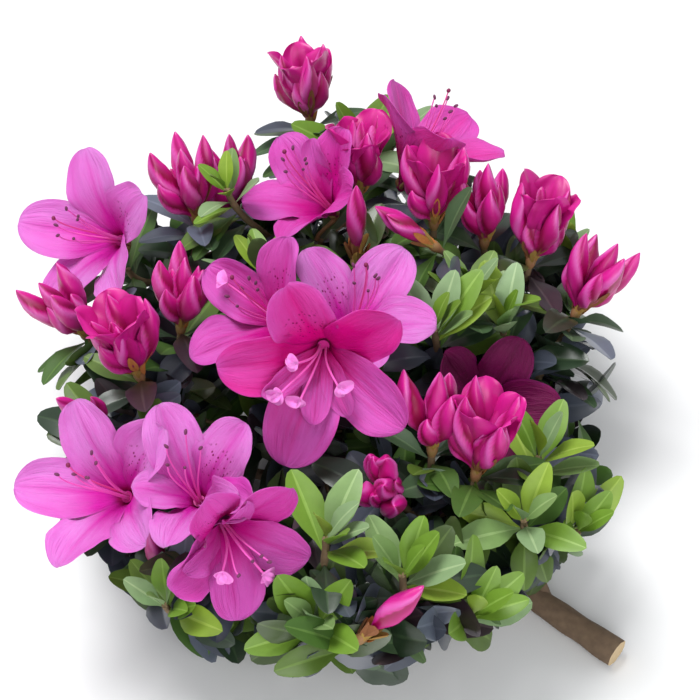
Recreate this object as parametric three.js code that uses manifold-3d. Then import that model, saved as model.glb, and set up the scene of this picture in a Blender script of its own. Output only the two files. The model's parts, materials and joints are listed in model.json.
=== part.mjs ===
// A cut flowering bough of an azalea, lying on its lower twigs with its shoots turned up.
// One woody stem carries a bough to each clump of leafy shoots, which end in bud trusses and open flowers.
// Millimetres, +Z up from the surface that it lies on, +Y towards the growing tip. The cut end is at low Y
// and high X.
import * as THREE from "three";
import { mergeVertices } from "three/addons/utils/BufferGeometryUtils.js";
import Module from "manifold-3d";

const wasm = await Module();
wasm.setup();

// Driving sizes.
const GAP = 0.3; // between pieces that meet
const GRIDS = [0.01, 0.013, 0.017, 0.021, 0.026, 0.033, 0.007]; // a solid's corners lie on one of these
const WELD = 1e-4; // corners nearer than this are one
const CROWN_SHIFT = [9.7, 3.7]; // sets the middle of the bough's outline over the origin
const STEM_CUT_RADIUS = 4.4;
const STEM_TIP_RADIUS = 1.7;
const BOUGH_BASE_RADIUS = 2.3;
const BOUGH_TIP_RADIUS = 1.5;
const TWIG_RADIUS = 1.25;
const STALK_RADIUS = 0.8; // of a flower or a bud
const LIMB_SIDES = 5;
const STEM_STEPS = 12;
const BOUGH_STEPS = 4;
const BOUGH_SET_OUT = 0.45; // share of a bough's level reach over which it runs straight out
const BOUGH_ARRIVE = 0.12; // share of it over which the bough turns up into its clump
const BOUGH_LIFT = 0.25; // most that it rises there, as a share of that reach
const BEND_PULL = 0.4; // how far a bent path keeps its end directions, as a share of its span
const LEAF_LENGTH = 24;
const LEAF_WIDTH = 10.5;
const LEAF_LENGTH_SHARES = [0.85, 0.3]; // the shortest leaf's share of it, and the range
const LEAF_THICKNESS = 1.3;
const LEAVES_PER_WHORL = 4;
const LEAF_TIP_MARGIN = 1.5; // from a twig's tip to its first leaf
const LEAF_SPACING = 2.4; // between the roots of two leaves along a twig
const LEAF_LOWEST_SHARE = 0.15; // of a twig's length, below which no leaf grows
const LEAF_TRIES = 5; // places round the twig that a leaf may try
const LEAF_START = new THREE.Vector3(0.6, 0.8, 0); // the level direction that leaves are counted from
const LEAF_TRY_TURN = 51; // degrees from one such place to the next
const LEAF_ROOT_DEPTH = 0.25; // past the twig's middle line
const LEAF_CLEAR_OF_TWIG = 1.6; // where a leaf leaves its own twig's surface
const LEAN_SPREAD = 14; // degrees by which a leaf or a low twig may lean further
const COMPASS_SPREAD = 30; // degrees by which one may turn further
const BARE_SHOOT_LEAN = 38; // of the leaves that end a bare shoot
const BLOOMING_SHOOT_LEAN = 62; // of the leaves under a bloom or a truss
const LOW_TWIG_LEAF_LEAN = 55;
const TWIG_SIDES = 3;
const TWIG_STEPS = 2;
const LEADER_SIDES = 4;
const LEADER_STEPS = 4;
const TWIG_SET_OUT = 0.5; // from along its leader, at 0, to straight towards its own tip, at 1
const TWIG_SHARE_START = 0.12; // where on its leader the first side twig may branch
const TWIG_SHARE_STEP = 0.08; // and how much further each next one
const TWIG_SHARE_TRIES = [0, 0.12, 0.24, 0.36, 0.48]; // how much further still, to find room
const LOW_TWIGS = 3; // leafy side twigs low on each clump
const LOW_TWIG_LEAN = 78;
const LOW_TWIG_SHARE = [0.08, 0.16]; // the lowest place on the leader, and the range above it
const LOW_TWIG_REACH = [0.6, 0.2]; // the least length as a share of the clump's spread, and the range
const LOW_TWIG_DROP = 8; // by which its tip hangs
const LOW_TWIG_TIP_HEIGHT = 5; // at the least
const LOW_TWIG_TURNS = [0, 25, -25, 50, -50, 75, -75, 100, -100]; // degrees that it may turn to find room
const LOW_TWIG_LENGTHS = [1, 0.8, 0.6]; // shares of its length that it may shorten to
const RESTING_TIP_HEIGHT = 0.9; // twig radii, for a tip that lies on the ground
const TWIG_OUTWARD_SHARE = 0.92; // how far out in the crown a low twig may end
const SHOOT_OUTWARD = 0.012; // lean of a bare shoot for each millimetre that it stands out from its clump
const SHOOT_FORWARD = 0.12; // its lean towards the growing tip
const PETAL_LENGTH = 27;
const PETAL_WIDTH = 18.5;
const PETAL_OUTLINE = [[0, 0], [0.64, -0.5], [1, -0.22], [1, 0.22], [0.64, 0.5]]; // lengths, widths
const PETAL_THICKNESS = 1.2;
const PETALS = 5;
const FUNNEL_LENGTH = 16;
const PETAL_ROOT = [3.5, 3]; // out from the axis and back from the throat
const PETAL_SIZE_STEP = 0.08; // by which a petal without room is drawn in
const PETAL_LEAST_SIZE = 0.3;
const FUNNEL_RADIUS = 7.5;
const STALK_END_IN_FUNNEL = 2;
const STALK_START_OUT = 1.4; // from the shoot's tip, towards the flower
const STALK_START_STEP = 0.1; // more height for each further stalk on the shoot
const BUD_LENGTH = 25;
const BUD_LENGTH_SHARES = [0.85, 0.2]; // the shortest bud's share of it, and the range
const BUD_RADIUS = 3.9;
const BUD_SIDES = 4;
const BUD_WIDEST = 0.48; // share of its length with its stalk
const BUD_SHOULDER = [0.85, 0.72]; // its radius's share, at a share of that length
const BUD_FOOT = 0.4; // share of the stalk, where it is as thick as a flower's
const BUD_STALK = 6;
const BUD_FAN = 9; // lean of a truss's outer buds, before what each bud adds
const BUD_FAN_PER_BUD = 2;
const BUD_ROOT = [2.2, 0.6]; // along the shoot, then along the bud
const SCALES_RADIUS = 2.4;
const SCALES_HEIGHT = 3.4;
const TRUSS_TURN = 40; // degrees, at most
const TRUSS_SEED = 100;
const FLOOR_CLEARANCE = 0.2; // of the lowest leaves
const CROWN_MIDDLE = [-4, -8];
const CROWN_REACH = [104, 122]; // across and along, from the crown's middle to its outermost tips
const CROWN_BASE_SHARE = 0.8; // of that reach, at the ground
const CROWN_FULL_HEIGHT = 48; // where the crown first reaches all the way out

const GOLDEN_ANGLE = 137.5;
const BARK = { color: 0x5a4635, roughness: 0.85, metalness: 0 };
const FOLIAGE = { color: 0x6f9a45, roughness: 0.55, metalness: 0 };
const PETAL = { color: 0xd93bb4, roughness: 0.6, metalness: 0 };
const BUD = { color: 0xb5156c, roughness: 0.5, metalness: 0 };

// The woody stem, from its flat cut to its tip.
const STEM_PATH = [
  [84, -92, STEM_CUT_RADIUS],
  [60, -72, 5.5],
  [34, -48, 8],
  [10, -18, 11],
  [-2, 20, 15],
  [-4, 56, 20],
  [-4, 84, 26],
];

// Each clump: the foot of its stem, how far its leaves spread, and its shoots' tips with what they carry.
// A bough leaves its parent at the share "from" of the parent's length.
const CLUMPS = [
  {
    name: "centre", parent: "stem", from: 0.5, foot: [-9, -30, 30], spread: 30,
    shoots: [
      { tip: [-9, -22, 58], flowers: ["centre_right", "centre_front", "centre_left"] },
      { tip: [-28, 19, 62] },
    ],
  },
  {
    name: "front_left", parent: "bough_left_rim", from: 0.56, foot: [-42, -86, 22], spread: 32,
    shoots: [
      { tip: [-40, -88, 52], flowers: ["front_left_upper", "front_left_lower"] },
      { tip: [-55, -103, 46], size: 0.85 },
    ],
  },
  {
    name: "left_rim", parent: "stem", from: 0.23, foot: [-70, -62, 16], spread: 32, rests: true,
    shoots: [
      { tip: [-74, -62, 42], flowers: ["left_rim"] },
      { tip: [-58, -84, 30], buds: 1, lean: [4, 150], size: 0.9 },
    ],
  },
  {
    name: "left", parent: "stem", from: 0.4, foot: [-62, -16, 22], spread: 33, rests: true,
    shoots: [
      { tip: [-55, -2, 56], buds: 5, lean: [14, 70] },
      { tip: [-66, -26, 60], buds: 5, lean: [18, 150] },
      { tip: [-76, -44, 54], buds: 3, lean: [34, -150], size: 0.75 },
      { tip: [-86, 4, 46], buds: 4, lean: [30, 170] },
    ],
  },
  {
    name: "back_left", parent: "stem", from: 0.56, foot: [-58, 42, 18], spread: 33, rests: true,
    shoots: [
      { tip: [-52, 48, 56], buds: 5, lean: [18, 120] },
      { tip: [-76, 40, 42], flowers: ["back_left"] },
    ],
  },
  {
    name: "back_centre", parent: "stem", from: 0.72, foot: [-24, 48, 26], spread: 30,
    shoots: [
      { tip: [-10, 46, 50], flowers: ["back_centre"] },
      { tip: [3, 55, 62], buds: 4, lean: [14, 90] },
      { tip: [-41, 45, 75], size: 0.75 },
      { tip: [-40, 62, 44], buds: 4, lean: [12, 100] },
    ],
  },
  {
    name: "tip", parent: "stem", from: 1, foot: [-4, 84, 26], spread: 34, rests: true,
    shoots: [
      { tip: [-14, 100, 54], buds: 5, lean: [20, 110] },
      { tip: [3, 80, 62] },
      { tip: [16, 100, 46] },
    ],
  },
  {
    name: "back_right", parent: "stem", from: 0.66, foot: [24, 40, 28], spread: 30,
    shoots: [
      { tip: [28, 38, 64], buds: 5, lean: [14, 90] },
      { tip: [22, 60, 60], flowers: ["back_right"] },
      { tip: [29, 22, 70], buds: 2, lean: [48, 178], size: 0.85 },
      { tip: [2, 20, 64], buds: 1, lean: [8, 90] },
    ],
  },
  {
    name: "right_far", parent: "stem", from: 0.42, foot: [56, 34, 20], spread: 33, rests: true,
    shoots: [
      { tip: [45, 35, 58], buds: 4, lean: [12, 90] },
      { tip: [60, 28, 56], buds: 5, lean: [18, 60] },
      { tip: [72, 42, 44] },
    ],
  },
  {
    name: "right_inner", parent: "stem", from: 0.36, foot: [32, -6, 26], spread: 28,
    shoots: [
      { tip: [27, -12, 68] },
      { tip: [39, 7, 64] },
      { tip: [39, -17, 30], flowers: ["shaded"] },
    ],
  },
  {
    name: "right_rim", parent: "stem", from: 0.3, foot: [60, -8, 18], spread: 32, rests: true,
    shoots: [
      { tip: [49, -5, 62] },
      { tip: [74, 10, 50], buds: 5, lean: [28, 35] },
    ],
  },
  {
    name: "right_low", parent: "stem", from: 0.31, foot: [26, -66, 26], spread: 28,
    shoots: [
      { tip: [25, -58, 62], buds: 4, lean: [12, 80] },
      { tip: [38, -66, 60], buds: 5, lean: [14, 60] },
      { tip: [11, -68, 54], buds: 4, lean: [30, -100], size: 0.95 },
    ],
  },
  {
    name: "front_centre", parent: "bough_left_rim", from: 0.36, foot: [-8, -92, 30], spread: 30,
    shoots: [
      { tip: [-7, -98, 72] },
      { tip: [-10, -114, 52] },
    ],
  },
  {
    name: "front_right", parent: "stem", from: 0.19, foot: [22, -92, 24], spread: 30,
    shoots: [
      { tip: [15, -108, 68] },
      { tip: [2, -120, 52], buds: 1, lean: [40, 10] },
      { tip: [36, -108, 48] },
    ],
  },
  {
    name: "right_front_rim", parent: "stem", from: 0.12, foot: [58, -62, 18], spread: 33, rests: true,
    shoots: [
      { tip: [58, -56, 58] },
      { tip: [52, -82, 60] },
      { tip: [70, -74, 44] },
    ],
  },
];

// Each open flower: its throat, which way it faces as [lean from upright, compass from +X], how far its first
// petal is turned, how wide it opens, and its petals' reach where that isn't 1.
const FLOWERS = {
  centre_right: {
    throat: [2, -13, 76], faces: [12, -43], turn: 60, opening: 66, reach: [0.95, 0.9, 0.9, 0.85, 0.86],
  },
  centre_front: {
    throat: [-9, -45, 90], faces: [67, -95], turn: 36, opening: 66, reach: [1, 1, 1.05, 1.2, 1.1],
  },
  centre_left: {
    throat: [-26, -13, 76], faces: [38, -151], turn: 58, opening: 62, reach: [0.85, 0.9, 0.95, 0.85, 0.85],
  },
  front_left_upper: {
    throat: [-47, -80, 74], faces: [17, -127], turn: 38, opening: 62, reach: [0.85, 0.9, 0.55, 0.72, 0.85],
  },
  front_left_lower: {
    throat: [-33, -102, 76], faces: [72, -67], turn: 64, opening: 62, reach: [0.78, 0.8, 0.82, 0.8, 0.76],
  },
  left_rim: { throat: [-73, -72, 62], faces: [36, -138], turn: 24, opening: 60 },
  back_centre: {
    throat: [-12, 46, 72], faces: [32, -157], turn: 38, opening: 55, reach: [0.84, 0.84, 0.84, 0.8, 0.84],
  },
  back_left: { throat: [-84, 36, 62], faces: [48, -140], turn: 10, opening: 60 },
  back_right: { throat: [24, 64, 74], faces: [37, 39], turn: 54, opening: 45 },
  shaded: {
    throat: [44, -28, 50], faces: [32, -61], turn: 0, opening: 60, reach: [0.8, 0.8, 0.8, 0.8, 0.8],
  },
};

/** A repeatable stream of numbers from 0 to 1, by a 32-bit linear congruential rule. */
function seededDraws(seed) {
  let state = (Math.imul(seed, 2654435761) + 12345) >>> 0;
  return () => {
    state = (Math.imul(state, 1664525) + 1013904223) >>> 0;
    return state / 4294967296;
  };
}

const point = ([x, y, z]) => new THREE.Vector3(x, y, z);

/** How far out a place is in the crown: 1 on its outline, which draws in towards the ground. */
function outwardShare({ x, y, z }) {
  const rise = THREE.MathUtils.clamp(z / CROWN_FULL_HEIGHT, 0, 1);
  const reach = CROWN_BASE_SHARE + (1 - CROWN_BASE_SHARE) * rise;
  const across = (x - CROWN_MIDDLE[0]) / CROWN_REACH[0];
  const forward = (y - CROWN_MIDDLE[1]) / CROWN_REACH[1];
  return Math.hypot(across, forward) / reach;
}

const radians = (degrees) => THREE.MathUtils.degToRad(degrees);

/** The unit direction that leans so many degrees from upright, towards a compass angle from +X. */
function heading(lean, compass) {
  return new THREE.Vector3(0, 0, 1)
    .applyAxisAngle(new THREE.Vector3(0, 1, 0), radians(lean))
    .applyAxisAngle(new THREE.Vector3(0, 0, 1), radians(compass));
}

/**
 * A closed three.js geometry as a solid: corners that lie together are joined, empty faces go, and so do two
 * faces that come to lie back to back.
 */
function solidOf(geometry, tolerance = WELD) {
  const bare = new THREE.BufferGeometry().setAttribute("position", geometry.getAttribute("position"));
  const merged = mergeVertices(bare.setIndex(geometry.index), tolerance);
  const corners = merged.index.array;
  const faces = new Map();
  for (let i = 0; i < corners.length; i += 3) {
    const face = Array.from(corners.slice(i, i + 3));
    if (new Set(face).size < 3) continue;
    const key = [...face].sort((a, b) => a - b).join();
    if (faces.has(key)) faces.delete(key);
    else faces.set(key, face);
  }
  return new wasm.Manifold(
    new wasm.Mesh({
      numProp: 3,
      vertProperties: merged.attributes.position.array,
      triVerts: new Uint32Array([...faces.values()].flat()),
    }),
  );
}

/** A solid as a three.js geometry. */
function geometryOf(solid) {
  const mesh = solid.getMesh();
  return new THREE.BufferGeometry()
    .setAttribute("position", new THREE.BufferAttribute(mesh.vertProperties.slice(), 3))
    .setIndex(new THREE.BufferAttribute(mesh.triVerts.slice(), 1));
}

/** Whether exactly two faces meet at each edge of a solid, also where corners lie in one place. */
function isSimple(solid) {
  const { vertProperties, triVerts } = solid.getMesh();
  const thousandths = vertProperties.map((value) => Math.round(value * 1000));
  const corner = (i) => thousandths.slice(3 * i, 3 * i + 3).join();
  const uses = new Map();
  for (let i = 0; i < triVerts.length; i += 3) {
    const face = [0, 1, 2].map((k) => corner(triVerts[i + k]));
    for (let k = 0; k < 3; k += 1) {
      const edge = [face[k], face[(k + 1) % 3]].sort().join("|");
      uses.set(edge, (uses.get(edge) ?? 0) + 1);
    }
  }
  return [...uses.values()].every((count) => count === 2);
}

/** A joined solid's largest piece, its corners on the first fine grid that leaves its surface simple. */
function tidied(solid) {
  for (const grid of GRIDS) {
    const geometry = geometryOf(solid);
    const places = geometry.getAttribute("position").array;
    places.forEach((value, i) => {
      places[i] = Math.round(value / grid) * grid;
    });
    const piece = mainPiece(solidOf(geometry, grid / 4));
    if (isSimple(piece)) return piece;
  }
  throw new Error("no grid leaves this surface simple");
}

/** A tube with flat ends along a curve, its radius running evenly from one end's to the other's. */
function taperedTube(curve, startRadius, endRadius, sides, steps) {
  const tube = new THREE.CylinderGeometry(1, 1, 1, sides, steps);
  const frames = curve.computeFrenetFrames(steps);
  const places = tube.getAttribute("position");
  for (let i = 0; i < places.count; i += 1) {
    const along = places.getY(i) + 0.5;
    const step = Math.round(along * steps);
    const radius = THREE.MathUtils.lerp(startRadius, endRadius, along);
    const place = curve
      .getPointAt(along)
      .addScaledVector(frames.normals[step], places.getX(i) * radius)
      .addScaledVector(frames.binormals[step], -places.getZ(i) * radius);
    places.setXYZ(i, place.x, place.y, place.z);
  }
  return solidOf(tube);
}

/** A curve from a to b that sets out towards one direction and arrives along another. */
function bentPath(a, b, setOut, arrive) {
  const pull = a.distanceTo(b) * BEND_PULL;
  return new THREE.CubicBezierCurve3(
    a,
    a.clone().addScaledVector(setOut, pull),
    b.clone().addScaledVector(arrive, -pull),
    b,
  );
}

/** A geometry laid out along a direction: its X runs along, its Z towards the way it faces. */
function laid(geometry, root, along, facing) {
  const side = facing.clone().cross(along).normalize();
  const up = along.clone().cross(side).normalize();
  const place = new THREE.Matrix4().makeBasis(along, side, up).setPosition(root);
  return geometry.applyMatrix4(place);
}

/** A leaf of eight faces, its root on the given point and its upper face turned up. */
function leafBlade(root, along, facing, length, width) {
  const blade = new THREE.OctahedronGeometry(1)
    .scale(length / 2, width / 2, LEAF_THICKNESS / 2)
    .translate(length / 2, 0, 0);
  return solidOf(laid(blade, root, along, facing));
}

/** A petal: a flat plate, narrow at its root, widest past its middle and blunt at its tip. */
function petalBlade(root, along, facing, length, width) {
  const outline = PETAL_OUTLINE.map(([x, y]) => new THREE.Vector2(x * length, y * width));
  const options = { depth: PETAL_THICKNESS, bevelEnabled: false };
  const plate = new THREE.ExtrudeGeometry(new THREE.Shape(outline), options);
  return solidOf(laid(plate, root, along, facing));
}

/** A closed bud on its short stalk: a four-sided spindle with a pointed tip. */
function budSpindle(root, along, length, radius) {
  const outline = [
    new THREE.Vector2(0, 0),
    new THREE.Vector2(STALK_RADIUS, BUD_STALK * BUD_FOOT),
    new THREE.Vector2(radius, length * BUD_WIDEST),
    new THREE.Vector2(radius * BUD_SHOULDER[0], length * BUD_SHOULDER[1]),
    new THREE.Vector2(0, length),
  ];
  const spindle = new THREE.LatheGeometry(outline, BUD_SIDES).rotateX(Math.PI / 2);
  const turn = new THREE.Quaternion().setFromUnitVectors(new THREE.Vector3(0, 0, 1), along);
  return solidOf(spindle.applyQuaternion(turn).translate(root.x, root.y, root.z));
}

/** The joined solid's largest piece; slivers cut off by a boolean are dropped. */
function mainPiece(solid) {
  return solid.decompose().sort((a, b) => b.volume() - a.volume())[0];
}

const placed = []; // every finished solid, with its bounding box
const branch = new THREE.Group();

function boxOf(solid) {
  const { min, max } = solid.boundingBox();
  return new THREE.Box3(point(min), point(max));
}

/** Whether a solid touches any of the solids in a list, by default every one that is already placed. */
function touches(solid, others = placed) {
  const box = boxOf(solid);
  return others.some((other) => other.box.intersectsBox(box) && other.solid.intersect(solid).volume() > 0);
}

const boxed = (solid) => ({ solid, box: boxOf(solid) });

/** Adds a joined solid to the part as a named mesh. */
function place(name, joined, finish) {
  const solid = tidied(joined);
  placed.push(boxed(solid));
  const mesh = new THREE.Mesh(geometryOf(solid), new THREE.MeshStandardMaterial(finish));
  mesh.name = name;
  branch.add(mesh);
}

// The stem and its boughs.
const limbs = {};

/** A limb as a named mesh, cut short of its parent's bark. */
function makeLimb(name, curve, startRadius, endRadius, steps, parent) {
  let solid = taperedTube(curve, startRadius, endRadius, LIMB_SIDES, steps);
  if (parent) solid = mainPiece(solid.subtract(parent.grown));
  const grown = taperedTube(curve, startRadius + GAP, endRadius + GAP, LIMB_SIDES, steps);
  limbs[name] = { curve, endRadius, grown };
  place(name, solid, BARK);
}

const stemCurve = new THREE.CatmullRomCurve3(STEM_PATH.map(point));
makeLimb("stem", stemCurve, STEM_CUT_RADIUS, STEM_TIP_RADIUS, STEM_STEPS);

/** The bough of a clump, from inside its parent's bark to the clump's foot, where it turns up. */
function makeBough(clump) {
  const parent = limbs[clump.parent];
  const start = parent.curve.getPointAt(clump.from);
  const foot = point(clump.foot);
  const level = foot.clone().sub(start).setZ(0);
  const lift = Math.min(BOUGH_LIFT * level.length(), foot.z - BOUGH_BASE_RADIUS - 1);
  const curve = new THREE.CubicBezierCurve3(
    start,
    start.clone().addScaledVector(level, BOUGH_SET_OUT),
    foot.clone().addScaledVector(level, -BOUGH_ARRIVE).setZ(foot.z - lift),
    foot,
  );
  makeLimb(`bough_${clump.name}`, curve, BOUGH_BASE_RADIUS, BOUGH_TIP_RADIUS, BOUGH_STEPS, parent);
  return limbs[`bough_${clump.name}`];
}

const byParent = (a, b) => (a.parent === "stem" ? 0 : 1) - (b.parent === "stem" ? 0 : 1);
for (const clump of [...CLUMPS].sort(byParent)) {
  clump.limb = clump.from === 1 ? limbs[clump.parent] : makeBough(clump);
}

/** The heart of an open flower: a filled funnel on a bent stalk. */
function makeHeart({ throat, faces }, stalkStart, axisOfShoot) {
  const mouth = point(throat);
  const axis = heading(...faces);
  const seat = new THREE.Quaternion().setFromUnitVectors(new THREE.Vector3(0, 0, 1), axis);
  const funnel = new THREE.CylinderGeometry(FUNNEL_RADIUS, STALK_RADIUS, FUNNEL_LENGTH, PETALS)
    .rotateX(Math.PI / 2)
    .translate(0, 0, -FUNNEL_LENGTH / 2)
    .applyQuaternion(seat)
    .translate(mouth.x, mouth.y, mouth.z);
  const base = mouth.clone().addScaledVector(axis, STALK_END_IN_FUNNEL - FUNNEL_LENGTH);
  const stalkPath = bentPath(stalkStart, base, axisOfShoot, axis);
  const stalk = taperedTube(stalkPath, STALK_RADIUS, STALK_RADIUS, TWIG_SIDES, TWIG_STEPS);
  return boxed(solidOf(funnel).add(stalk));
}

/** One open flower: its heart, with five petals round the mouth. */
function makeFlower(name) {
  const { throat, faces, turn, opening, reach = Array(PETALS).fill(1) } = FLOWERS[name];
  const mouth = point(throat);
  const axis = heading(...faces);
  const seat = new THREE.Quaternion().setFromUnitVectors(new THREE.Vector3(0, 0, 1), axis);
  const pieces = [hearts[name].solid];
  const others = Object.keys(hearts).filter((other) => other !== name);
  const neighbours = others.map((other) => hearts[other]);
  for (let k = 0; k < PETALS; k += 1) {
    const around = radians(turn + (360 / PETALS) * k);
    const outward = new THREE.Vector3(Math.cos(around), Math.sin(around), 0).applyQuaternion(seat);
    const along = axis.clone().multiplyScalar(Math.cos(radians(opening)))
      .addScaledVector(outward, Math.sin(radians(opening)));
    const root = mouth.clone()
      .addScaledVector(outward, PETAL_ROOT[0])
      .addScaledVector(axis, -PETAL_ROOT[1]);
    // A petal that would touch a neighbouring bloom is drawn in until it is clear of it.
    for (let size = 1; size > PETAL_LEAST_SIZE; size -= PETAL_SIZE_STEP) {
      const length = PETAL_LENGTH * reach[k] * size;
      const grown = petalBlade(root, along, axis, length + 2 * GAP, PETAL_WIDTH * size + 2 * GAP);
      if (touches(grown) || touches(grown, neighbours)) continue;
      pieces.push(petalBlade(root, along, axis, length, PETAL_WIDTH * size));
      break;
    }
  }
  place(`flower_${name}`, wasm.Manifold.union(pieces), PETAL);
}

/** A truss of closed buds at the tip of a shoot: one upright, the others fanned out round it. */
function makeTruss(name, shoot, draw) {
  const axis = heading(...shoot.lean);
  const size = shoot.size ?? 1;
  const start = point(shoot.tip).addScaledVector(axis, GAP);
  const seat = new THREE.Quaternion().setFromUnitVectors(new THREE.Vector3(0, 0, 1), axis);
  const scales = new THREE.OctahedronGeometry(1)
    .scale(SCALES_RADIUS, SCALES_RADIUS, SCALES_HEIGHT)
    .translate(0, 0, SCALES_HEIGHT)
    .applyQuaternion(seat)
    .translate(start.x, start.y, start.z);
  const pieces = [solidOf(scales)];
  const across = new THREE.Vector3(0, 1, 0).cross(axis).normalize();
  const turn = draw();
  for (let k = 0; k < shoot.buds; k += 1) {
    const fan = k === 0 ? 0 : BUD_FAN + BUD_FAN_PER_BUD * shoot.buds;
    const around = radians((360 / Math.max(shoot.buds - 1, 1)) * k + TRUSS_TURN * turn);
    const along = axis.clone().applyAxisAngle(across, radians(fan)).applyAxisAngle(axis, around);
    const root = start.clone().addScaledVector(axis, BUD_ROOT[0]).addScaledVector(along, BUD_ROOT[1]);
    const bud = BUD_LENGTH * (BUD_LENGTH_SHARES[0] + BUD_LENGTH_SHARES[1] * draw());
    const length = (BUD_STALK + bud) * size;
    if (touches(budSpindle(root, along, length + GAP, BUD_RADIUS * size + GAP))) continue;
    pieces.push(budSpindle(root, along, length, BUD_RADIUS * size));
  }
  place(name, wasm.Manifold.union(pieces), BUD);
}

/** Which way a shoot points: the way its truss leans, or a little outward from the clump's middle. */
function shootAxis(clump, shoot) {
  if (shoot.lean) return heading(...shoot.lean);
  const out = point(shoot.tip).sub(point(clump.foot)).setZ(0);
  return out.multiplyScalar(SHOOT_OUTWARD).add(new THREE.Vector3(0, SHOOT_FORWARD, 1)).normalize();
}

// Every flower's heart comes first, each clear of its shoot's tip; petals and buds then keep off them.
const hearts = {};
for (const clump of CLUMPS) {
  for (const shoot of clump.shoots.filter(({ flowers }) => flowers)) {
    const axis = shootAxis(clump, shoot);
    shoot.flowers.forEach((name, k) => {
      const outward = point(FLOWERS[name].throat).sub(point(shoot.tip)).setZ(0).normalize();
      const start = point(shoot.tip)
        .addScaledVector(axis, GAP + STALK_START_STEP * k)
        .addScaledVector(outward, STALK_START_OUT);
      hearts[name] = makeHeart(FLOWERS[name], start, axis);
    });
  }
}
Object.keys(FLOWERS).forEach(makeFlower);
CLUMPS.forEach((clump, number) => {
  const draw = seededDraws(TRUSS_SEED + number);
  clump.shoots.forEach((shoot, index) => {
    if (shoot.buds) makeTruss(`buds_${clump.name}_${index + 1}`, shoot, draw);
  });
});

/** How many leaves end a shoot, how far they lean from it, and their size; a truss's size is its own. */
function whorlOf(shoot) {
  const bare = !shoot.flowers && !shoot.buds;
  if (!bare) return [LEAVES_PER_WHORL, BLOOMING_SHOOT_LEAN, 1];
  return [LEAVES_PER_WHORL + 1, BARE_SHOOT_LEAN, shoot.size ?? 1];
}

/** Adds a side twig to a clump where it has room, and says whether it had. */
function addTwig(skeleton, share, tip, axis, whorl) {
  const start = skeleton.leader.getPointAt(share);
  const towards = tip.clone().sub(start).normalize();
  const setOut = skeleton.leader.getTangentAt(share).lerp(towards, TWIG_SET_OUT).normalize();
  const curve = bentPath(start, tip, setOut, axis);
  const piece = boxed(taperedTube(curve, TWIG_RADIUS, TWIG_RADIUS, TWIG_SIDES, TWIG_STEPS));
  const grown = taperedTube(curve, TWIG_RADIUS + GAP, TWIG_RADIUS + GAP, TWIG_SIDES, TWIG_STEPS);
  if (touches(piece.solid) || skeletons.some(({ own }) => touches(grown, own))) return false;
  skeleton.own.push(piece);
  skeleton.whorls.push([{ curve, piece }, ...whorl]);
  return true;
}

/** A low side twig, turned or shortened to find room; on a resting clump the first one lies down. */
function addLowTwig(skeleton, k) {
  const { clump, draw, leader } = skeleton;
  const outward = THREE.MathUtils.radToDeg(Math.atan2(clump.foot[1], clump.foot[0]));
  const lean = LOW_TWIG_LEAN + LEAN_SPREAD * draw();
  const compass = outward + (360 / LOW_TWIGS) * k + COMPASS_SPREAD * draw();
  const share = LOW_TWIG_SHARE[0] + LOW_TWIG_SHARE[1] * draw();
  const reach = clump.spread * (LOW_TWIG_REACH[0] + LOW_TWIG_REACH[1] * draw());
  const rests = k === 0 && clump.rests;
  const places = LOW_TWIG_TURNS.flatMap((turn) => LOW_TWIG_LENGTHS.map((length) => [turn, length]));
  places.some(([turn, length]) => {
    const axis = heading(lean, compass + turn);
    const tip = leader.getPointAt(share).addScaledVector(axis, reach * length);
    const hanging = Math.max(tip.z - LOW_TWIG_DROP, LOW_TWIG_TIP_HEIGHT);
    tip.setZ(rests ? TWIG_RADIUS * RESTING_TIP_HEIGHT : hanging);
    if (outwardShare(tip) >= TWIG_OUTWARD_SHARE) return false;
    return addTwig(skeleton, share, tip, axis, [LEAVES_PER_WHORL, LOW_TWIG_LEAF_LEAN, 1]);
  });
}

/** A clump's wood: a leader from the bough's tip to the first shoot, and the twigs that branch from it. */
function makeTwigs(clump, number) {
  const arrive = clump.limb.curve.getTangentAt(1);
  const foot = clump.limb.curve.getPointAt(1).addScaledVector(arrive, GAP);
  const [first, ...rest] = clump.shoots;
  const leader = bentPath(foot, point(first.tip), arrive, shootAxis(clump, first));
  const wood = boxed(taperedTube(leader, clump.limb.endRadius, TWIG_RADIUS, LEADER_SIDES, LEADER_STEPS));
  const skeleton = { clump, leader, draw: seededDraws(number + 1), own: [wood], whorls: [] };
  skeleton.whorls.push([{ curve: leader, piece: wood }, ...whorlOf(first)]);
  rest.forEach((shoot, index) => {
    const axis = shootAxis(clump, shoot);
    const lowest = TWIG_SHARE_START + TWIG_SHARE_STEP * (index + 1);
    TWIG_SHARE_TRIES.some((more) => {
      return addTwig(skeleton, lowest + more, point(shoot.tip), axis, whorlOf(shoot));
    });
  });
  for (let k = 0; k < LOW_TWIGS; k += 1) {
    addLowTwig(skeleton, k);
  }
  skeletons.push(skeleton);
}

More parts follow.
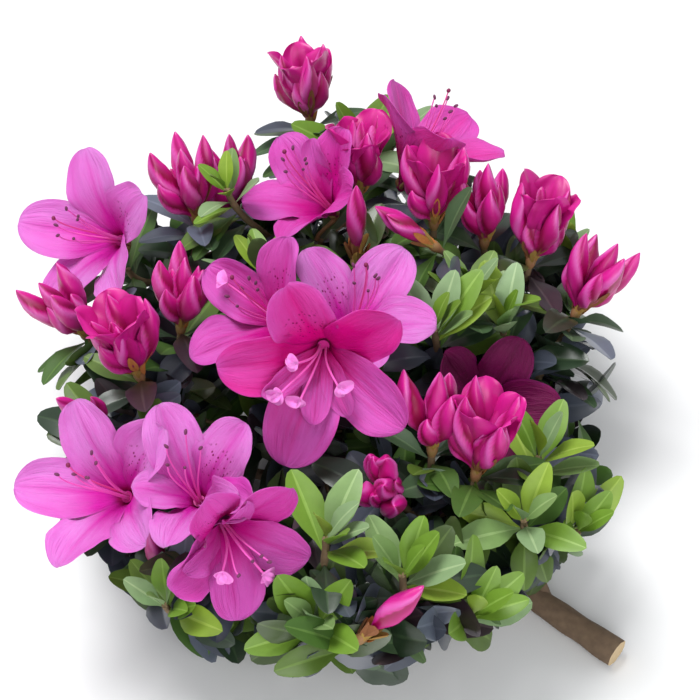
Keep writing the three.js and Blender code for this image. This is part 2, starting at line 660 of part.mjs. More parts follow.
/** Leaves round the last part of a twig, each skipped where it would leave the crown or touch a neighbour. */
function addWhorl({ clump, own, draw }, [twig, count, spreadAngle, size], neighbours) {
  const reach = twig.curve.getLength();
  const others = own.filter((piece) => piece !== twig.piece);
  const farthest = clump.spread + LEAF_LENGTH / 2;
  for (let k = 0; k < count; k += 1) {
    const share = Math.max(1 - (LEAF_TIP_MARGIN + LEAF_SPACING * k) / reach, LEAF_LOWEST_SHARE);
    const axis = twig.curve.getTangentAt(share);
    const middle = twig.curve.getPointAt(share);
    const across = LEAF_START.clone().cross(axis).normalize();
    const lean = spreadAngle + LEAN_SPREAD * draw();
    const length = LEAF_LENGTH * size * (LEAF_LENGTH_SHARES[0] + LEAF_LENGTH_SHARES[1] * draw());
    const around = GOLDEN_ANGLE * k + COMPASS_SPREAD * draw();
    for (let turn = 0; turn < LEAF_TRIES; turn += 1) {
      const along = axis.clone()
        .applyAxisAngle(across, radians(lean))
        .applyAxisAngle(axis, radians(around + LEAF_TRY_TURN * turn));
      const root = middle.clone().addScaledVector(along, -LEAF_ROOT_DEPTH);
      const tip = root.clone().addScaledVector(along, length);
      if (Math.hypot(tip.x - clump.foot[0], tip.y - clump.foot[1]) > farthest) continue;
      if (outwardShare(tip) > 1) continue;
      const leaf = leafBlade(root, along, axis, length, LEAF_WIDTH * size);
      if (leaf.boundingBox().min[2] < FLOOR_CLEARANCE) continue;
      const grown = leafBlade(root, along, axis, length + 2 * GAP, LEAF_WIDTH * size + 2 * GAP);
      if (touches(grown) || touches(grown, neighbours)) continue;
      const clear = middle.clone().addScaledVector(along, LEAF_CLEAR_OF_TWIG);
      const blade = length - LEAF_CLEAR_OF_TWIG - LEAF_ROOT_DEPTH;
      if (touches(leafBlade(clear, along, axis, blade, LEAF_WIDTH * size), others)) continue;
      const piece = boxed(leaf);
      own.push(piece);
      others.push(piece);
      break;
    }
  }
}

// All the twigs come before any leaf, so that a leaf keeps off every clump's wood.
const skeletons = [];
CLUMPS.forEach(makeTwigs);
for (const skeleton of skeletons) {
  const neighbours = skeletons.filter((other) => other !== skeleton).flatMap(({ own }) => own);
  skeleton.whorls.forEach((whorl) => addWhorl(skeleton, whorl, neighbours));
  const joined = wasm.Manifold.union(skeleton.own.map(({ solid }) => solid));
  place(`foliage_${skeleton.clump.name}`, joined, FOLIAGE);
}

branch.position.set(CROWN_SHIFT[0], CROWN_SHIFT[1], 0);

export default branch;
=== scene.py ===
"""A cut flowering branch of an azalea: bark, twigs, leaves, open flowers and bud trusses.

Lengths are in millimetres in the branch's plan, with +Z up, and become metres when a piece is made.
CROWN_SHIFT carries the plan onto the frame's origin. Angles are in degrees unless a name says otherwise.
"""

from __future__ import annotations

import json
import logging
import math
from dataclasses import dataclass, field
from enum import Enum

import bpy
import numpy as np
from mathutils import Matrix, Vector
from mathutils.kdtree import KDTree

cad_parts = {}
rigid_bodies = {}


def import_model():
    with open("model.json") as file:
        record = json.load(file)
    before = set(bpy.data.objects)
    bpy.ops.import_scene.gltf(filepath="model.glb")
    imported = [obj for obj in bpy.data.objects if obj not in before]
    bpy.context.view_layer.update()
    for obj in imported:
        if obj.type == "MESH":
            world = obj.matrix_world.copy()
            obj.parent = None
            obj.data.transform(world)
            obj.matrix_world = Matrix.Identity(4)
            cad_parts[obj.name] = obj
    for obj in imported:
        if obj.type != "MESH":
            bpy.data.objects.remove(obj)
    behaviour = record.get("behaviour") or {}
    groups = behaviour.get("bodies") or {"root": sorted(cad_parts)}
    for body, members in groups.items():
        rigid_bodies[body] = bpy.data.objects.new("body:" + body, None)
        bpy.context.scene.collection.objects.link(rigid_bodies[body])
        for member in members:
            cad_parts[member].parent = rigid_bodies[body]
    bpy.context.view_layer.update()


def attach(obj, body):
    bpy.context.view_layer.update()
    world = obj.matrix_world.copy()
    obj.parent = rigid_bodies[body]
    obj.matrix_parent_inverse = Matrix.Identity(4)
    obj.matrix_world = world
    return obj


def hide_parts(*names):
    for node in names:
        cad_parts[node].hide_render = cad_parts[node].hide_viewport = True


Colour = tuple[float, float, float]

LOG = logging.getLogger("azalea")
MM = 0.001
UP = np.array([0.0, 0.0, 1.0])
LEVEL = np.array([1, 1, 0])  # times a vector, its level part
FULL_TURN = 6.28  # radians, the range of a random phase
GOLDEN_ANGLE = 137.5

CROWN_SHIFT = np.array([9.7, 3.7, 0.0])
CROWN_MIDDLE = np.array([-4.0, -8.0])
CROWN_REACH = np.array([104.0, 122.0])  # across and along, to its outermost tips
CROWN_BASE_SHARE = 0.8  # of that reach, at the ground
CROWN_FULL_HEIGHT = 48.0  # where the crown first reaches all the way out

STEM_CUT_RADIUS = 4.4
STEM_TIP_RADIUS = 1.7
BOUGH_BASE_RADIUS = 2.3
BOUGH_TIP_RADIUS = 1.5
TWIG_RADIUS = 1.25
GAP = 0.3  # between a shoot's tip and the truss or flower that it carries
BEND_PULL = 0.4  # how far a bent line keeps its end directions, as a share of its span
BEZIER_POINTS = 65
SHOOT_OUTWARD = 0.012  # lean of a shoot for each millimetre that it stands out from its clump
SHOOT_FORWARD = 0.12  # its lean towards the growing tip
LEAF_RISE = 0.06  # of its length, by which a leaf's rib sets out above its own direction
LEAF_DRAW_IN = 0.12  # by which its bend shortens its reach
PETALS = 5
PETAL_TURN = 72  # degrees from one petal to the next
FUNNEL_LENGTH = 16
STEM_PATH = (
    (84, -92, STEM_CUT_RADIUS), (60, -72, 5.5), (34, -48, 8), (10, -18, 11), (-2, 20, 15), (-4, 56, 20),
    (-4, 84, 26),
)


@dataclass(frozen=True)
class Shoot:
    """One tip of a clump: bare, or with flowers, or with a truss of buds that leans [lean, compass] and
    whose middle bud may be opening."""

    tip: tuple[float, float, float]
    flowers: tuple[str, ...] = ()
    buds: int = 0
    lean: tuple[float, float] | None = None
    size: float = 1.0
    opens: bool = False

    @property
    def bare(self) -> bool:
        """Whether it ends in leaves alone."""
        return not self.flowers and not self.buds


@dataclass(frozen=True)
class Clump:
    """A mass of leaves: where its bough leaves the parent limb and arrives, and its shoots."""

    name: str
    parent: str
    share: float
    foot: tuple[float, float, float]
    spread: float
    shoots: tuple[Shoot, ...]
    rests: bool = False


CLUMPS = (
    Clump("centre", "stem", 0.5, (-9, -30, 30), 30, (
        Shoot((-9, -22, 58), flowers=("centre_right", "centre_front", "centre_left")),
        Shoot((-28, 19, 62)),
    )),
    Clump("front_left", "left_rim", 0.56, (-42, -86, 22), 32, (
        Shoot((-40, -88, 52), flowers=("front_left_upper", "front_left_lower")),
        Shoot((-55, -103, 46), size=0.85),
    )),
    Clump("left_rim", "stem", 0.23, (-70, -62, 16), 32, (
        Shoot((-74, -62, 42), flowers=("left_rim",)),
        Shoot((-58, -84, 30), buds=1, lean=(4, 150), size=0.9),
    ), rests=True),
    Clump("left", "stem", 0.4, (-62, -16, 22), 33, (
        Shoot((-55, -2, 56), buds=5, lean=(14, 70)),
        Shoot((-66, -26, 60), buds=5, lean=(18, 150), opens=True),
        Shoot((-76, -44, 54), buds=3, lean=(34, -150), size=0.75),
        Shoot((-86, 4, 46), buds=4, lean=(30, 170)),
    ), rests=True),
    Clump("back_left", "stem", 0.56, (-58, 42, 18), 33, (
        Shoot((-52, 48, 56), buds=5, lean=(18, 120)),
        Shoot((-76, 40, 42), flowers=("back_left",)),
    ), rests=True),
    Clump("back_centre", "stem", 0.72, (-24, 48, 26), 30, (
        Shoot((-10, 46, 50), flowers=("back_centre",)),
        Shoot((3, 55, 62), buds=4, lean=(14, 90), opens=True),
        Shoot((-41, 45, 75), size=0.75),
        Shoot((-40, 62, 44), buds=4, lean=(12, 100)),
    )),
    Clump("tip", "stem", 1, (-4, 84, 26), 34, (
        Shoot((-14, 100, 54), buds=5, lean=(20, 110), opens=True),
        Shoot((3, 80, 62)),
        Shoot((16, 100, 46)),
    ), rests=True),
    Clump("back_right", "stem", 0.66, (24, 40, 28), 30, (
        Shoot((28, 38, 64), buds=5, lean=(14, 90), opens=True),
        Shoot((22, 60, 60), flowers=("back_right",)),
        Shoot((29, 22, 70), buds=2, lean=(48, 178), size=0.85),
        Shoot((2, 20, 64), buds=1, lean=(8, 90)),
    )),
    Clump("right_far", "stem", 0.42, (56, 34, 20), 33, (
        Shoot((45, 35, 58), buds=4, lean=(12, 90)),
        Shoot((60, 28, 56), buds=5, lean=(18, 60), opens=True),
        Shoot((72, 42, 44)),
    ), rests=True),
    Clump("right_inner", "stem", 0.36, (32, -6, 26), 28, (
        Shoot((27, -12, 68)),
        Shoot((39, 7, 64)),
        Shoot((39, -17, 30), flowers=("shaded",)),
    )),
    Clump("right_rim", "stem", 0.3, (60, -8, 18), 32, (
        Shoot((49, -5, 62)),
        Shoot((74, 10, 50), buds=5, lean=(28, 35)),
    ), rests=True),
    Clump("right_low", "stem", 0.31, (26, -66, 26), 28, (
        Shoot((25, -58, 62), buds=4, lean=(12, 80)),
        Shoot((38, -66, 60), buds=5, lean=(14, 60), opens=True),
        Shoot((11, -68, 54), buds=4, lean=(30, -100), size=0.95),
    )),
    Clump("front_centre", "left_rim", 0.36, (-8, -92, 30), 30, (
        Shoot((-7, -98, 72)),
        Shoot((-10, -114, 52)),
    )),
    Clump("front_right", "stem", 0.19, (22, -92, 24), 30, (
        Shoot((15, -108, 68)),
        Shoot((2, -120, 52), buds=1, lean=(40, 10)),
        Shoot((36, -108, 48)),
    )),
    Clump("right_front_rim", "stem", 0.12, (58, -62, 18), 33, (
        Shoot((58, -56, 58)),
        Shoot((52, -82, 60)),
        Shoot((70, -74, 44)),
    ), rests=True),
)


def unit(vectors: np.ndarray) -> np.ndarray:
    """The vectors along the last axis at unit length."""
    return vectors / np.maximum(np.linalg.norm(vectors, axis=-1, keepdims=True), 1e-9)


def heading(lean: float, compass: float) -> np.ndarray:
    """A unit vector that leans from +Z towards a compass direction measured from +X."""
    l, c = math.radians(lean), math.radians(compass)
    return np.array([math.sin(l) * math.cos(c), math.sin(l) * math.sin(c), math.cos(l)])


def turned(vector: np.ndarray, about: np.ndarray, degrees: float) -> np.ndarray:
    """A vector turned about a unit axis."""
    a = math.radians(degrees)
    return (
        vector * math.cos(a)
        + np.cross(about, vector) * math.sin(a)
        + about * np.dot(about, vector) * (1 - math.cos(a))
    )


def seated(axis: np.ndarray) -> np.ndarray:
    """The shortest turn that carries +Z onto an axis: I + K + K K / (1 + z), with K the cross product's
    matrix.

    Args:
        axis: a unit vector that doesn't point straight down.

    Returns:
        The turn as a 3x3 matrix.
    """
    v, c = np.cross(UP, axis), float(axis[2])
    k = np.array([[0, -v[2], v[1]], [v[2], 0, -v[0]], [-v[1], v[0], 0]])
    return np.eye(3) + k + k @ k / (1 + c)


def smooth(values: np.ndarray, low: float, high: float) -> np.ndarray:
    """Rises from 0 at low to 1 at high as 3 t^2 - 2 t^3."""
    t = np.clip((values - low) / (high - low), 0, 1)
    return t * t * (3 - 2 * t)


def outward_share(p: np.ndarray) -> float:
    """How far out in the crown a point is, where 1 is the crown's own outline at that height."""
    level = CROWN_BASE_SHARE + (1 - CROWN_BASE_SHARE) * min(max(p[2] / CROWN_FULL_HEIGHT, 0), 1)
    return float(np.linalg.norm((p[:2] - CROWN_MIDDLE) / CROWN_REACH) / level)


def shoot_axis(clump: Clump, shoot: Shoot) -> np.ndarray:
    """The way a shoot points at its tip: as it leans, or a little outward from its clump's foot.

    Args:
        clump: the clump.
        shoot: one of its shoots.

    Returns:
        A unit vector.
    """
    if shoot.lean:
        return heading(*shoot.lean)
    out = (np.array(shoot.tip, dtype=float) - np.array(clump.foot)) * LEVEL
    return unit(out * SHOOT_OUTWARD + np.array([0, SHOOT_FORWARD, 1]))


class SeededDraws:
    """A run of numbers from 0 to 1 that is the same each time, the same as the solids were grown by."""

    WORD = 0xFFFFFFFF  # keeps the state within 32 bits
    SPREAD, START = 2654435761, 12345  # turn a seed into the first state
    FACTOR, STEP = 1664525, 1013904223  # turn one state into the next

    def __init__(self, seed: int) -> None:
        """Starts the run."""
        self.state = ((seed * self.SPREAD & self.WORD) + self.START) & self.WORD

    def __call__(self) -> float:
        """The next number."""
        self.state = ((self.state * self.FACTOR & self.WORD) + self.STEP) & self.WORD
        return self.state / (self.WORD + 1)


@dataclass(frozen=True)
class Path:
    """A smooth line in space, kept as a dense run of points (n, 3)."""

    points: np.ndarray

    def length(self) -> float:
        """The line's length."""
        return float(np.linalg.norm(np.diff(self.points, axis=0), axis=1).sum())

    def at(self, shares: np.ndarray | float) -> np.ndarray:
        """The points at the given shares of the length.

        Args:
            shares: one share from 0 to 1, or an array of them.

        Returns:
            One point, or (n, 3).
        """
        steps = np.linalg.norm(np.diff(self.points, axis=0), axis=1)
        run = np.concatenate([[0], np.cumsum(steps)]) / steps.sum()
        return np.stack([np.interp(shares, run, self.points[:, i]) for i in range(3)], axis=-1)

    def tangent(self, shares: np.ndarray | float) -> np.ndarray:
        """The unit directions at the given shares, each from a hundredth before to a hundredth after."""
        s = np.asarray(shares, dtype=float)
        return unit(self.at(np.minimum(s + 0.01, 1)) - self.at(np.maximum(s - 0.01, 0)))


def bezier(a: np.ndarray, b: np.ndarray, c: np.ndarray, d: np.ndarray) -> Path:
    """The cubic Bezier line with these four control points."""
    t = np.linspace(0, 1, BEZIER_POINTS)[:, None]
    return Path((1 - t) ** 3 * a + 3 * (1 - t) ** 2 * t * b + 3 * (1 - t) * t * t * c + t**3 * d)


def bent(a: np.ndarray, b: np.ndarray, set_out: np.ndarray, arrive: np.ndarray) -> Path:
    """A line from a to b that sets out and arrives in the given directions."""
    pull = BEND_PULL * float(np.linalg.norm(b - a))
    return bezier(a, a + set_out * pull, b - arrive * pull, b)


def spline(knots: np.ndarray, steps: int = 40) -> Path:
    """The centripetal Catmull-Rom line: a Hermite cubic from each knot to the next, whose slopes weigh
    the three chords about it by the square roots of their lengths.

    Args:
        knots: (n, 3) points that it passes through.
        steps: the points from one knot to the next.

    Returns:
        The line.
    """
    p = np.vstack([2 * knots[0] - knots[1], knots, 2 * knots[-1] - knots[-2]])
    t = np.linspace(0, 1, steps)[:, None]
    runs = []
    for i in range(len(knots) - 1):
        a, b, c, d = p[i : i + 4]
        da, db, dc = (math.sqrt(float(np.linalg.norm(y - x))) for x, y in ((a, b), (b, c), (c, d)))
        m1 = ((b - a) / da - (c - a) / (da + db) + (c - b) / db) * db
        m2 = ((c - b) / db - (d - b) / (db + dc) + (d - c) / dc) * db
        runs.append(
            b * (2 * t**3 - 3 * t**2 + 1) + m1 * (t**3 - 2 * t**2 + t)
            + c * (3 * t**2 - 2 * t**3) + m2 * (t**3 - t**2)
        )
    return Path(np.vstack([run[:-1] for run in runs[:-1]] + [runs[-1]]))


class Sheaf:
    """The blocks of points and faces of one joined piece, with a value or two at each point."""

    SHARP = math.radians(65)  # an edge that turns by more than this isn't shaded smooth

    def __init__(self) -> None:
        """Starts with nothing."""
        self.blocks: list[tuple[np.ndarray, np.ndarray, np.ndarray]] = []
        self.values: dict[str, list[np.ndarray]] = {}
        self.count = 0

    def add(
        self, points: np.ndarray, faces: np.ndarray, tones: np.ndarray | int = 0, **values: np.ndarray
    ) -> None:
        """Adds a block.

        Args:
            points: (n, 3) in plan millimetres.
            faces: (m, 4) indices into points, with -1 in the last place of a triangle.
            tones: the number of each face's finish.
            values: named numbers (n,) or (n, k) kept at the points.
        """
        tone_row = np.broadcast_to(np.asarray(tones), (len(faces),))
        self.blocks.append((points, np.where(faces < 0, -1, faces + self.count), tone_row))
        for name, value in values.items():
            self.values.setdefault(name, []).append(value)
        self.count += len(points)

    def piece(
        self, name: str, finishes: list[bpy.types.Material], slot: str, nodes: list[str]
    ) -> bpy.types.Object:
        """Makes the joined piece, set on the frame.

        Args:
            name: the piece's name.
            finishes: its materials in the order of the face numbers.
            slot: not used.
            nodes: the CAD nodes that it stands for.

        Returns:
            The Blender object.
        """
        points = np.vstack([block[0] for block in self.blocks])
        faces = np.vstack([block[1] for block in self.blocks])
        tones = np.concatenate([block[2] for block in self.blocks])
        totals = np.where(faces[:, 3] < 0, 3, 4)
        loops = faces[faces >= 0]
        mesh = bpy.data.meshes.new(name)
        mesh.vertices.add(len(points))
        mesh.vertices.foreach_set("co", ((points + CROWN_SHIFT) * MM).astype(np.float32).ravel())
        mesh.loops.add(len(loops))
        mesh.loops.foreach_set("vertex_index", loops.astype(np.int32))
        mesh.polygons.add(len(faces))
        mesh.polygons.foreach_set("loop_start", (np.cumsum(totals) - totals).astype(np.int32))
        for finish in finishes:
            mesh.materials.append(finish)
        mesh.polygons.foreach_set("material_index", tones.astype(np.int32))
        mesh.update(calc_edges=True)
        mesh.shade_smooth()
        mesh.set_sharp_from_angle(angle=self.SHARP)
        for key, blocks in self.values.items():
            data = np.concatenate(blocks).astype(np.float32)
            if data.ndim == 2:
                mesh.uv_layers.new(name=key).data.foreach_set("uv", data[loops].ravel())
            else:
                mesh.attributes.new(key, "FLOAT", "POINT").data.foreach_set("value", data)
        obj = bpy.data.objects.new(name, mesh)
        bpy.context.collection.objects.link(obj)
        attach(obj, "root")
        if nodes:
            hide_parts(*nodes)
        LOG.info("%s: %d faces, %d triangles", name, len(faces), int((totals - 2).sum()))
        return obj


def sheet_faces(rows: int, columns: int) -> np.ndarray:
    """The quads of a grid of points, each turned so that its normal is the way along the rows crossed with
    the way along the columns.

    Args:
        rows: the number of rows.
        columns: the points in a row.

    Returns:
        (m, 4) indices.
    """
    i, j = np.meshgrid(np.arange(rows - 1), np.arange(columns - 1), indexing="ij")
    a = (i * columns + j).ravel()
    return np.stack([a, a + columns, a + columns + 1, a + 1], axis=1)


def tube_faces(rings: int, around: int) -> np.ndarray:
    """The faces of a tube of rings by around points, closed at each end by a fan to one more point.

    Args:
        rings: the number of rings.
        around: the points in a ring.

    Returns:
        (m, 4) indices, where the two end points come after the rings: the first's, then the last's.
    """
    i, j = np.meshgrid(np.arange(rings - 1), np.arange(around), indexing="ij")
    k = (j + 1) % around
    side = np.stack([i * around + j, i * around + k, (i + 1) * around + k, (i + 1) * around + j], axis=-1)
    j = np.arange(around)
    k = (j + 1) % around
    first, last, end = rings * around, rings * around + 1, (rings - 1) * around
    none = np.full(around, -1)
    start_fan = np.stack([np.full(around, first), k, j, none], axis=1)
    end_fan = np.stack([np.full(around, last), end + j, end + k, none], axis=1)
    return np.vstack([side.reshape(-1, 4), start_fan, end_fan])


def frames(path: Path, shares: np.ndarray) -> tuple[np.ndarray, np.ndarray, np.ndarray]:
    """Points and two directions across a line that lies nearly in one plane. The first across is that
    plane's normal made square to the tangent, and the second is the tangent crossed with it.

    Args:
        path: the line. Where it is straight, the plane is the upright one along it.
        shares: where along it.

    Returns:
        The points, the first and the second unit directions, each (n, 3).
    """
    straight, off_plumb = 0.05, np.array([0.013, 0.021, 0])
    centre, tangent = path.at(shares), path.tangent(shares)
    normal = np.cross(tangent[0], tangent[-1])
    if np.linalg.norm(normal) < straight:
        normal = np.cross(tangent[len(tangent) // 2], UP + off_plumb)
    if np.linalg.norm(normal) < straight:
        normal = np.array([1.0, 0, 0])
    side = unit(normal - np.sum(normal * tangent, axis=1, keepdims=True) * tangent)
    return centre, side, np.cross(tangent, side)


def tube(path: Path, radii: np.ndarray, around: int) -> tuple[np.ndarray, np.ndarray]:
    """A closed round limb: at share s and angle a, the line's point plus r(s, a)(side cos a + up sin a).

    Args:
        path: the line it follows.
        radii: (rings,) or (rings, around) radii at evenly spaced shares.
        around: the points in a ring.

    Returns:
        Its points and its faces.
    """
    shares = np.linspace(0, 1, len(radii))
    centre, side, up = frames(path, shares)
    angle = np.linspace(0, 2 * np.pi, around, endpoint=False)[None, :, None]
    r = np.asarray(radii, dtype=float).reshape(len(shares), -1, 1)
    rings = centre[:, None] + r * (side[:, None] * np.cos(angle) + up[:, None] * np.sin(angle))
    points = np.vstack([rings.reshape(-1, 3), centre[:1], centre[-1:]])
    return points, tube_faces(len(shares), around)


def globe(centre: np.ndarray, axis: np.ndarray, long: float, wide: float) -> tuple[np.ndarray, np.ndarray]:
    """A closed egg with its long way along an axis: radius wide sin(pi s), height -long cos(pi s).

    Args:
        centre: its middle.
        axis: the unit direction of its long way.
        long: half its length.
        wide: its largest radius.

    Returns:
        Its points and its faces.
    """
    rings, around = 5, 6
    line = Path(np.stack([centre - axis * long, centre + axis * long]))
    s = np.linspace(0, 1, rings + 2)[1:-1]
    points, faces = tube(line, wide * np.sin(np.pi * s), around)
    moved = points[:-2].reshape(rings, around, 3) - line.at(np.linspace(0, 1, rings))[:, None]
    moved = moved + (centre - axis * long * np.cos(np.pi * s)[:, None])[:, None]
    ends = np.stack([centre - axis * long, centre + axis * long])
    return np.vstack([moved.reshape(-1, 3), ends]), faces


class Gloss(Enum):
    """How a surface takes the light: its roughness, its mirror level, and its waxy coat's weight and
    roughness."""

    DULL = (0.85, 0.3, 0.0, 0.5)
    VELVET = (0.55, 0.2, 0.0, 0.5)
    SATIN = (0.5, 0.3, 0.0, 0.5)
    SILKY = (0.42, 0.4, 0.25, 0.3)
    WAXY = (0.48, 0.4, 0.08, 0.3)
    POLISHED = (0.36, 0.5, 0.5, 0.28)


@dataclass(frozen=True)
class Finish:
    """A surface whose base colour wanders a little towards a second colour with a fine noise."""

    GLOW_REACH = (0.0016, 0.0007, 0.0012)  # metres that red, green and blue light spread under the skin

    name: str
    base: Colour
    fleck: Colour
    scale: float = 300.0
    gloss: Gloss = Gloss.SATIN
    glow: float = 0.0
    bump: float = 0.15
    height: float = 0.0004

    def principled(self) -> tuple[bpy.types.Material, bpy.types.Node]:
        """A new material with its fixed values set.

        Returns:
            The material and its surface node.
        """
        material = bpy.data.materials.new(self.name)
        material.use_nodes = True
        surface = material.node_tree.nodes["Principled BSDF"]
        roughness, mirror, coat, coat_roughness = self.gloss.value
        fixed = {
            "Roughness": roughness, "Specular IOR Level": mirror, "Coat Weight": coat,
            "Coat Roughness": coat_roughness, "Subsurface Weight": self.glow,
            "Subsurface Radius": self.GLOW_REACH, "Subsurface Scale": 1.0,
        }
        for socket, value in fixed.items():
            surface.inputs[socket].default_value = value
        return material, surface

    def noise(self, material: bpy.types.Material, scale: float) -> bpy.types.NodeSocket:
        """A noise over the piece's own Object coordinates.

        Args:
            material: takes the nodes.
            scale: how fine the noise is.

        Returns:
            The noise's value.
        """
        nodes, links = material.node_tree.nodes, material.node_tree.links
        place = nodes.new("ShaderNodeTexCoord")
        noise = nodes.new("ShaderNodeTexNoise")
        noise.inputs["Scale"].default_value = scale
        noise.inputs["Detail"].default_value = 4.0
        links.new(place.outputs["Object"], noise.inputs["Vector"])
        return noise.outputs["Fac"]

    def mix(
        self, material: bpy.types.Material, factor: bpy.types.NodeSocket,
        a: Colour | bpy.types.NodeSocket, b: Colour | bpy.types.NodeSocket,
    ) -> bpy.types.NodeSocket:
        """Mixes two colours.

        Args:
            material: takes the node.
            factor: how much of the second colour there is, from 0 to 1.
            a: the first colour, or a socket that gives it.
            b: the second.

        Returns:
            The mixed colour.
        """
        links = material.node_tree.links
        mix = material.node_tree.nodes.new("ShaderNodeMix")
        mix.data_type = "RGBA"
        links.new(factor, mix.inputs["Factor"])
        for socket, value in ((mix.inputs[6], a), (mix.inputs[7], b)):
            if isinstance(value, bpy.types.NodeSocket):
                links.new(value, socket)
            else:
                socket.default_value = (*value, 1.0)
        return mix.outputs[2]

    def relief(
        self, material: bpy.types.Material, surface: bpy.types.Node, height: bpy.types.NodeSocket
    ) -> None:
        """Raises the surface by a fine bump.

        Args:
            material: takes the node.
            surface: the material's surface node.
            height: the value that the bump follows.
        """
        bump = material.node_tree.nodes.new("ShaderNodeBump")
        bump.inputs["Strength"].default_value = self.bump
        bump.inputs["Distance"].default_value = self.height
        material.node_tree.links.new(height, bump.inputs["Height"])
        material.node_tree.links.new(bump.outputs["Normal"], surface.inputs["Normal"])

    def material(self) -> bpy.types.Material:
        """Makes the material: one noise sets both the colour and the bump.

        Returns:
            The Blender material.
        """
        material, surface = self.principled()
        grain = self.noise(material, self.scale)
        colour = self.mix(material, grain, self.base, self.fleck)
        material.node_tree.links.new(colour, surface.inputs["Base Color"])
        self.relief(material, surface, grain)
        return material


@dataclass(frozen=True)
class PetalFinish(Finish):
    """A petal: paler at its edge, partly its own colour and partly a painted highlight, and deeper at its
    throat, partly its own colour and partly painted shade; veined along its length and spotted on its blaze.

    It reads three values kept at the points: depth, from 0 at the edge to 1 at the throat and more down the
    tube, where past 1 it is painted shade; blaze, where the spots lie; and vein. Its creases, which are
    darkened with painted shade, and its spots follow the petal's own map. On a bud, depth is the painted
    shade in its folds and blaze the painted highlight along its petals' edges.
    """

    WELL = (1.02, 1.6)  # the depths over which painted shade darkens the tube
    CREASE_STRETCH = (5.0, 0.7, 1.0)  # of the map, so that creases run along the petal
    CREASE_NOISE = {"Scale": 3.0, "Detail": 6.0, "Roughness": 0.6}
    CREASE_RANGE = (0.50, 0.75)  # of that noise, over which a crease's painted shade comes up
    SPOT_SCALE = 17.0
    SPOT_RANGE = (0.30, 0.20)  # distances from a spot's middle at which it starts and is full

    deep: Colour = (0.52, 0.004, 0.2)
    spot: Colour = (0.25, 0.0, 0.09)
    # painted shade deep in the tube
    painted_tube_shade: Colour = (0.30, 0.0, 0.09)
    # how strong the painted shade in the fine creases is
    crease_shade: float = 0.3
    spotted: bool = True

    def kept(self, material: bpy.types.Material, key: str) -> bpy.types.NodeSocket:
        """Reads a value kept at the points.

        Args:
            material: takes the node.
            key: the value's name.

        Returns:
            The value.
        """
        node = material.node_tree.nodes.new("ShaderNodeAttribute")
        node.attribute_name = key
        return node.outputs["Fac"]

    def fade(
        self, material: bpy.types.Material, value: bpy.types.NodeSocket, ends: tuple[float, float],
        most: float = 1.0,
    ) -> bpy.types.NodeSocket:
        """Stretches a value, which stays between 0 and the most.

        Args:
            material: takes the node.
            value: the value.
            ends: where it becomes 0, and where it becomes the most.
            most: the largest result.

        Returns:
            The stretched value.
        """
        ramp = material.node_tree.nodes.new("ShaderNodeMapRange")
        for socket, number in (("From Min", ends[0]), ("From Max", ends[1]), ("To Max", most)):
            ramp.inputs[socket].default_value = number
        material.node_tree.links.new(value, ramp.inputs["Value"])
        return ramp.outputs["Result"]

    def creases(self, material: bpy.types.Material, chart: bpy.types.NodeSocket) -> bpy.types.NodeSocket:
        """Long uneven creases: a noise over the petal's map, drawn out along the petal.

        Args:
            material: takes the nodes.
            chart: the petal's map.

        Returns:
            The creases' height.
        """
        nodes, links = material.node_tree.nodes, material.node_tree.links
        noise = nodes.new("ShaderNodeTexNoise")
        for socket, number in self.CREASE_NOISE.items():
            noise.inputs[socket].default_value = number
        stretch = nodes.new("ShaderNodeMapping")
        stretch.inputs["Scale"].default_value = self.CREASE_STRETCH
        links.new(chart, stretch.inputs["Vector"])
        links.new(stretch.outputs["Vector"], noise.inputs["Vector"])
        return noise.outputs["Fac"]

    def spots(
        self, material: bpy.types.Material, chart: bpy.types.NodeSocket, blaze: bpy.types.NodeSocket
    ) -> bpy.types.NodeSocket:
        """The blaze's spots, or the whole blaze on a petal that isn't spotted, which on a bud is the painted
        highlight along its petals' edges.

        Args:
            material: takes the nodes.
            chart: the petal's map.
            blaze: where the spots lie; on a bud, where the painted highlight lies.

        Returns:
            1 on a spot and 0 off it.
        """
        nodes, links = material.node_tree.nodes, material.node_tree.links
        cells = nodes.new("ShaderNodeTexVoronoi")
        cells.inputs["Scale"].default_value = self.SPOT_SCALE
        links.new(chart, cells.inputs["Vector"])
        dot = self.fade(material, cells.outputs["Distance"], self.SPOT_RANGE)
        both = nodes.new("ShaderNodeMath")
        both.operation = "MULTIPLY"
        both.inputs[0].default_value = 1.0
        if self.spotted:
            links.new(dot, both.inputs[0])
        links.new(blaze, both.inputs[1])
        return both.outputs["Value"]

    def material(self) -> bpy.types.Material:
        """Makes the material: ground, throat, the tube's painted shade, veins, the creases' painted shade and
        spots, each over the last.

        Returns:
            The Blender material.
        """
        material, surface = self.principled()
        depth, blaze, vein = (self.kept(material, key) for key in ("depth", "blaze", "vein"))
        grain = self.noise(material, self.scale)
        colour = self.mix(material, grain, self.base, self.fleck)
        # the throat's colour, then the painted shade down the tube
        for ends, tone in (((0.0, 1.0), self.deep), (self.WELL, self.painted_tube_shade)):
            colour = self.mix(material, self.fade(material, depth, ends), colour, tone)
        colour = self.mix(material, vein, colour, self.deep)
        chart = material.node_tree.nodes.new("ShaderNodeUVMap")
        chart.uv_map = "petal"
        creases = self.creases(material, chart.outputs["UV"])
        # painted shade in the fine creases
        crease_shade = self.fade(material, creases, self.CREASE_RANGE, self.crease_shade)
        colour = self.mix(material, crease_shade, colour, self.deep)
        spots = self.spots(material, chart.outputs["UV"], blaze)
        colour = self.mix(material, spots, colour, self.spot)
        material.node_tree.links.new(colour, surface.inputs["Base Color"])
        self.relief(material, surface, creases if self.spotted else grain)
        return material


